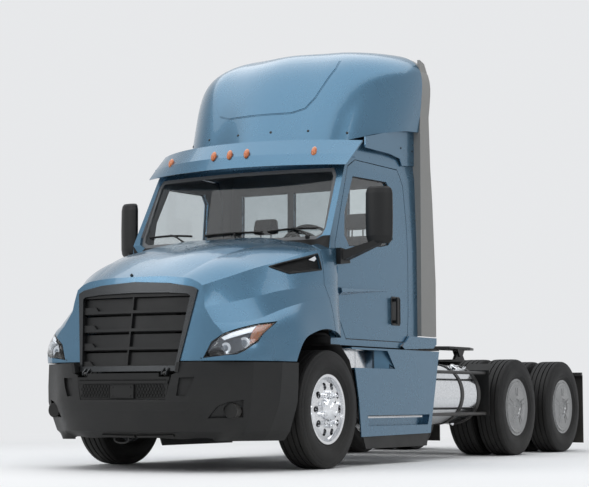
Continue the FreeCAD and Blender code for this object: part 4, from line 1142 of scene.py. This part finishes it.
def bolts_on(bm, tree, spots, way, size):
    """Bolt heads where rays along a direction meet a surface."""
    head = [(0, size * 1.45), (0.0025, size * 1.45), (0.0026, size), (0.010, size), (0.0115, size * 0.8)]
    for spot in spots:
        point, normal = met(tree, spot, way)
        if point is not None:
            stud(bm, point - normal * 0.001, normal, head, 6, (spot[0] * 7.0 + spot[1] * 3.0) % 1.0)


def make_mouth_cheeks():
    """Upright cheeks at the ends of the bumper's mouth, and dark baffles behind them."""
    bm = bmesh.new()
    for _, side in SIDES:
        for y, deep, outline in (
                (-1.372, 0.055, ((0.503, 0.812), (0.534, 0.812), (0.549, 0.893), (0.520, 0.893))),
                (-1.262, 0.010, ((0.465, 0.70), (0.69, 0.74), (0.69, 0.93), (0.535, 0.92), (0.535, 0.865),
                                 (0.465, 0.855)))):
            prism(bm, [st(side * x, y, z) for x, z in outline], vec(0, deep, 0))
    piece(bm, "mouth_cheeks", "chassis", "bumper_plastic")


def make_frame_bolts():
    rails, base, fairing = bmesh.new(), bmesh.new(), bmesh.new()
    tree = surface_of("frame_rails")
    for _, side in SIDES:
        for station in (-0.85, -0.45, 0.05, 0.55, 1.10, 1.70, 2.30, 2.90, 3.35, 3.75, 4.30, 4.69, 5.05, 5.65, 5.80):
            spots = [st(side * 3.0, station + gap, z) for z in (0.760, 0.815, 0.875, 0.930) for gap in (0, 0.055)]
            bolts_on(rails, tree, spots, (-side, 0, 0), 0.0125)
    tree = surface_of("coupler_base")
    for _, side in SIDES:
        spots = [(side * 3.0, 1.26 + number * 0.155, z) for number in range(8) for z in (0.912, 0.965)]
        bolts_on(base, tree, spots, (-side, 0, 0), 0.013)
    tree = surface_of("roof_fairing")
    for _, side in SIDES:
        found = [from_front(tree, side * x, z) + (0.012, 0.008)
                 for x, z in ((0.546, 3.068), (0.856, 3.050), (0.180, 3.075))]
        found += [from_side(tree, side, y, 2.985) + (0.010, 0.007) for y in (1.62, 1.86, 2.10)]
        for point, normal, wide, top in found:
            if point is not None:
                stud(fairing, point, normal, [(0, wide), (0.002, wide), (0.005, top), (0.006, 0.003)], 12)
    piece(rails, "rail_bolts", "chassis", "cast_metal", "frame_black")
    piece(base, "coupler_bolts", "chassis", "cast_metal", "frame_black")
    piece(fairing, "fairing_bolts", "chassis", "cast_metal", "paint")


def make_tank_details(hand, side):
    """Strap bolts, filler neck and cap, and the drain plugs of each tank."""
    bm = bmesh.new()
    home = vec(side * 0.800, 0, 0.640)
    spin = math.radians(58)
    way = vec(side * math.cos(spin), 0, math.sin(spin))
    for y in (-0.30, 0.60, 0.93):
        for step in (-0.020, 0.020):
            stud(bm, home + way * 0.306 + vec(0, y + step, 0), way, mm((0, 11), (10, 11), (12, 6), (30, 6)), 8)
    neck = home + vec(side * 0.150, 0.74, 0.258)
    way = vec(side * 0.5, 0, 0.866)
    stud(bm, neck - way * 0.02, way, mm((0, 52), (28, 50), (30, 58), (46, 58), (50, 52)), 24)
    box_at(bm, neck + way * 0.034, (0.096, 0.016, 0.016), 0.004, facing(way))
    for y in (-0.50, 0.96):
        stud(bm, home + vec(side * 0.02, y, -0.296), (0, 0, -1.0), mm((0, 22), (10, 22), (12, 13), (20, 12)), 6)
    piece(bm, "tank_fittings_" + hand, "chassis", "chrome", "aluminium")


def make_treads(hand, side):
    """Raised ribs and a toothed lip on the step treads."""
    bm = bmesh.new()
    for y0, y1, x0, x1, z in ((0.790, 1.885, 1.068, 1.126, 0.440), (0.705, 1.635, 0.875, 1.080, 0.857)):
        count = int((y1 - y0) / 0.030)
        for number in range(count):
            y = y0 + (number + 0.5) * (y1 - y0) / count
            box_at(bm, st(side * (x0 + x1) / 2, y, z + 0.0015), (x1 - x0 - 0.012, 0.010, 0.005), 0.0015)
    piece(bm, "tread_ribs_" + hand, "chassis", "tread_metal", "aluminium")
    bm = bmesh.new()
    for number in range(58):
        box_at(bm, st(side * 1.1285, 0.800 + number * 0.0188, 0.4345), (0.005, 0.009, 0.010), 0.0012)
    piece(bm, "tread_lip_" + hand, "chassis", "tread_metal", "aluminium")


def make_tail_lamps(hand, side):
    """Two red lenses and a reverse lens, with rims, on each rear lamp box."""
    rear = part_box("tail_lamps")[1].y
    rims, reds, clears = bmesh.new(), bmesh.new(), bmesh.new()
    for number, target in enumerate((reds, reds, clears)):
        spot = vec(side * (0.405 - number * 0.098), rear - 0.001, 0.800)
        stud(rims, spot, (0, 1.0, 0), mm((0, 36), (5, 36), (7, 33), (3, 31)), 24)
        stud(target, spot, (0, 1.0, 0), mm((0, 31), (4, 30), (8, 22), (9, 8)), 24)
    piece(rims, "tail_lamp_rims_" + hand, "chassis", "black_rubber", "seal_rubber")
    piece(reds, "tail_lamp_lenses_" + hand, "chassis", "red_lens")
    piece(clears, "reverse_lens_" + hand, "chassis", "lamp_silver", "clear_lens")


make_vents()
make_bumper_details()
make_mouth_cheeks()
make_frame_bolts()
both_sides(make_tank_details, make_treads, make_tail_lamps)


# Body trim over the solids

def between(table, value):
    """The height of a line of points at one place along it."""
    for (a, low), (b, high) in zip(table, table[1:]):
        if a <= value <= b:
            return low + (high - low) * (value - a) / (b - a)
    return table[-1][1] if value > table[-1][0] else table[0][1]


def make_grille_header():
    """Top of the grille surround, bowed and leaning like the rest of it, and the radiator behind the grille."""
    crown = mm((0, 1566), (340, 1549), (560, 1514), (600, 1492))
    bm = bmesh.new()
    columns = []
    for number in range(-24, 25):
        x = 0.600 * number / 24
        bow = GRILLE_BOW - math.sqrt(GRILLE_BOW ** 2 - x * x)
        columns.append([bm.verts.new(st(x, -1.3622 + (z - 0.822) * GRILLE_LEAN + bow, z))
                        for z in (1.484, between(crown, abs(x)))])
    skinned(bm, columns)
    thickened(bm, vec(0, 0.045, 0))
    softened(piece(bm, "grille_header", "hood", "grille_grey", "grey_satin"), 0.004)
    bm = bmesh.new()
    box_at(bm, st(0, -1.030, 1.195), (1.02, 0.050, 0.47), 0.006)
    for number in range(34):
        box_at(bm, st(-0.495 + number * 0.030, -1.057, 1.195), (0.004, 0.008, 0.45))
    piece(bm, "radiator_core", "chassis", "frame_black")


FAIRING_PANEL = mm((-340, 3262), (340, 3262), (470, 3300), (545, 3400), (600, 3540), (650, 3700), (640, 3790),
                   (-640, 3790), (-650, 3700), (-600, 3540), (-545, 3400), (-470, 3300))


def make_fairing_panel():
    """The raised panel in the fairing's face, in two low steps."""
    for name, grow, lift in (("fairing_step", 0.010, 0.0035), ("fairing_panel", 0, 0.008)):
        bm = copied("roof_fairing")
        bm.normal_update()
        keep_only(bm, [f for f in bm.faces if f.normal.y < -0.22 and f.calc_center_median().z > 3.1])
        for (x0, z0), (x1, z1) in zip(FAIRING_PANEL, FAIRING_PANEL[1:] + FAIRING_PANEL[:1]):
            out = vec(z1 - z0, 0, x0 - x1).normalized()
            bmesh.ops.bisect_plane(bm, geom=bm.verts[:] + bm.edges[:] + bm.faces[:], dist=0.0001,
                                   plane_co=vec(x0, 0, z0) + out * grow, plane_no=out, clear_outer=True)
        bm.normal_update()
        fattened(bm, lambda vert, lift=lift: vert.normal * lift)
        softened(piece(bm, name, "chassis", "paint"), 0.0025, 3)


BAND_END = mm((3250, 2097), (3320, 2092), (3640, 2088), (3780, 2066), (3880, 2020), (3990, 1985))


def make_fairing_band():
    """Grey band that carries the side extenders over the fairing's rear edge, and the bulkhead under it."""
    tree = surface_of("roof_fairing")
    centre = st(0, 1.885, 3.255)
    bm = bmesh.new()
    rows = []
    for number in range(61):
        turn = math.pi * number / 60
        way = vec(math.cos(turn), 0, math.sin(turn))
        point, normal = met(tree, centre + way * 2.5, -way)
        if point is not None and normal.dot(way) >= 0.1:
            rows.append([bm.verts.new((point.x, station + FRONT_AXLE_Y, point.z))
                         for station in (1.9005, between(BAND_END, point.z))])
    skinned(bm, rows)
    fattened(bm, lambda vert: vec(centre.x - vert.co.x, 0, centre.z - vert.co.z).normalized() * 0.022)
    softened(piece(bm, "fairing_band", "chassis", "grey_satin"), 0.003)
    bm = bmesh.new()
    box_at(bm, st(0, 1.306, 3.023), (2.060, 0.012, 0.154))
    piece(bm, "roof_bulkhead", "chassis", "paint")


def make_arch_liners(hand, side):
    """Moulded liners over the front wheels and the splash shields behind them."""
    over = mm((-575, 905), (-560, 1024), (-500, 1103), (-353, 1164), (-130, 1204), (25, 1190))
    shield = mm((56, 1166), (150, 1136), (160, 1070), (330, 1070), (505, 936), (620, 700), (655, 480))
    for name, body, line, x0, x1 in (("arch_liner_", "hood", over, 0.565, 1.168),
                                     ("wheel_shield_", "chassis", shield, 0.480, 1.092)):
        bm = bmesh.new()
        skinned(bm, [[bm.verts.new(st(side * x, y, z)) for x in (x0, x1)] for y, z in line])
        bmesh.ops.subdivide_edges(bm, edges=bm.edges[:], cuts=2, use_grid_fill=True)
        walled(piece(bm, name + hand, body, "flap_rubber"), 0.006, 0)


WINDOW_LINE = mm((470, 2050), (500, 2270), (690, 2610), (1330, 2626), (1400, 2540), (1390, 2130), (1330, 2030),
                 (1170, 2000), (556, 1960))


def dense(line, gap):
    """A closed flat line with points added along its long runs."""
    found = []
    for (a0, b0), (a1, b1) in zip(line, line[1:] + line[:1]):
        count = max(1, int(math.hypot(a1 - a0, b1 - b0) / gap))
        found += [(a0 + (a1 - a0) * n / count, b0 + (b1 - b0) * n / count) for n in range(count)]
    return found


def make_window_frames():
    """Black rubber frames round the door windows, with their rounded inner corners."""
    flat = bmesh.new()
    home = flat.faces.new([flat.verts.new((y, z, 0)) for y, z in WINDOW_LINE])
    bmesh.ops.inset_region(flat, faces=[home], thickness=0.016)
    keep_only(flat, [home])
    bmesh.ops.bevel(flat, geom=flat.verts[:], offset=0.050, segments=6, profile=0.5, material=-1, affect="VERTICES")
    inner = [(v.co.x, v.co.y) for v in max(flat.faces, key=lambda f: f.calc_area()).verts]
    flat.free()
    middle_y, middle_z = 0.95, 2.30
    for hand, side in SIDES:
        tree = surface_of("door_" + hand + "_glass")
        bm = bmesh.new()
        for line in (dense(WINDOW_LINE, 0.05), dense(inner, 0.05)):
            corners = [bm.verts.new((0, y, z)) for y, z in line]
            for pair in zip(corners, corners[1:] + corners[:1]):
                bm.edges.new(pair)
        bmesh.ops.triangle_fill(bm, use_beauty=True, edges=bm.edges[:])
        for vert in bm.verts:
            y, z = vert.co.y, vert.co.z
            for pull in (0, 0.01, 0.03, 0.06):
                point, _ = from_side(tree, side, y + (middle_y - y) * pull, z + (middle_z - z) * pull)
                if point is not None:
                    break
            vert.co = st(point.x + side * 0.003 if point is not None else side * 1.03, y, z)
        thickened(bm, vec(side * 0.006, 0, 0))
        piece(bm, "window_frame_" + hand, "door_" + hand, "black_rubber", "seal_rubber")


make_grille_header()
make_fairing_panel()
make_fairing_band()
both_sides(make_arch_liners)
make_window_frames()


# Studio

BACKDROP = (0.80, 0.81, 0.825, 1.0)
OVERHEAD = (0.60, 0.63, 0.66, 1.0)


def seen_ray(tree):
    """1 where the camera looks straight, or by way of a shine or a clear body."""
    path = node(tree, "LightPath").outputs
    seen = reckoned(tree, "MAXIMUM", path["Is Camera Ray"], path["Is Glossy Ray"])
    return reckoned(tree, "MAXIMUM", seen, path["Is Transmission Ray"])


def make_world():
    """Even light from all round; what is seen of it is the pale backdrop, a little darker overhead."""
    world = bpy.data.worlds.new("studio")
    bpy.context.scene.world = world
    world.use_nodes = True
    tree = world.node_tree
    lit = tree.nodes["Background"]
    lit.inputs["Color"].default_value = (0.93, 0.96, 1.0, 1.0)
    lit.inputs["Strength"].default_value = 0.45
    shown = node(tree, "Background", {"Strength": 1.0})
    split = node(tree, "SeparateXYZ")
    join(tree, node(tree, "TexCoord").outputs["Generated"], split.inputs[0])
    height = ranged(tree, split.outputs["Z"], 0, 1.0, 0.30, 0.75)
    join(tree, blend_colour(tree, height, BACKDROP, OVERHEAD), shown.inputs["Color"])
    mix_shaders(tree, seen_ray(tree), lit.outputs[0], shown.outputs[0], tree.nodes["World Output"].inputs["Surface"])


def make_floor():
    """A pale floor that takes the shadow and fades into the backdrop."""
    mat = bpy.data.materials.new("studio_floor")
    mat.use_nodes = True
    tree = mat.node_tree
    shader = tree.nodes["Principled BSDF"]
    shader.inputs["Roughness"].default_value = 0.7
    shader.inputs["Specular IOR Level"].default_value = 0.2
    fine = object_texture(tree, "TexNoise", {"Scale": 40.0, "Detail": 3.0})
    join(tree, blend_colour(tree, fine.outputs["Fac"], (0.83, 0.835, 0.84, 1.0), (0.86, 0.865, 0.87, 1.0)),
         shader.inputs["Base Color"])
    length = node(tree, "VectorMath", operation="LENGTH")
    join(tree, node(tree, "TexCoord").outputs["Object"], length.inputs[0])
    far = ranged(tree, length.outputs["Value"], 0, 1.0, 4.0, 9.0)
    glow = node(tree, "Emission", {"Color": BACKDROP, "Strength": 1.0})
    mix_shaders(tree, far, shader.outputs[0], glow.outputs[0], tree.nodes["Material Output"].inputs["Surface"])
    bm = bmesh.new()
    bmesh.ops.create_circle(bm, cap_ends=True, radius=80.0, segments=96)
    formed(bm, "studio_floor", mat)


def soft_lamp(name, place, target, size, power):
    data = bpy.data.lights.new(name, "AREA")
    data.shape = "RECTANGLE"
    data.size, data.size_y = size
    data.energy = power
    made = linked(name, data)
    made.location = place
    made.rotation_mode = "QUATERNION"
    made.rotation_quaternion = (Vector(place) - Vector(target)).to_track_quat("Z", "Y")
    made.visible_camera = False


def make_lamps():
    soft_lamp("top_softbox", (-0.5, -2.5, 10.0), (-0.5, -2.5, 0), (16.0, 18.0), 1250.0)
    soft_lamp("near_softbox", (11.0, -6.0, 6.0), (0.5, -1.0, 1.5), (4.0, 6.0), 170.0)
    soft_lamp("front_softbox", (-6.0, -13.0, 6.5), (0, -3.0, 1.5), (6.0, 4.0), 260.0)


def make_camera():
    """The photograph's view: a long lens from the left front, a little above the hubs."""
    yaw, pitch = 0.5300, 0.0923
    ahead = vec(-math.sin(yaw) * math.cos(pitch), math.cos(yaw) * math.cos(pitch), math.sin(pitch))
    right = vec(math.cos(yaw), math.sin(yaw), 0)
    data = bpy.data.cameras.new("photo_view")
    data.lens = 102.25
    data.sensor_width = 36.0
    data.clip_end = 400.0
    made = linked("photo_view", data)
    place = Matrix((right, right.cross(ahead), -ahead)).transposed().to_4x4()
    place.translation = vec(8.192, -14.848, 0.601)
    made.matrix_world = place
    bpy.context.scene.camera = made


make_world()
make_floor()
make_lamps()
make_camera()
bpy.context.scene.view_settings.view_transform = "Standard"
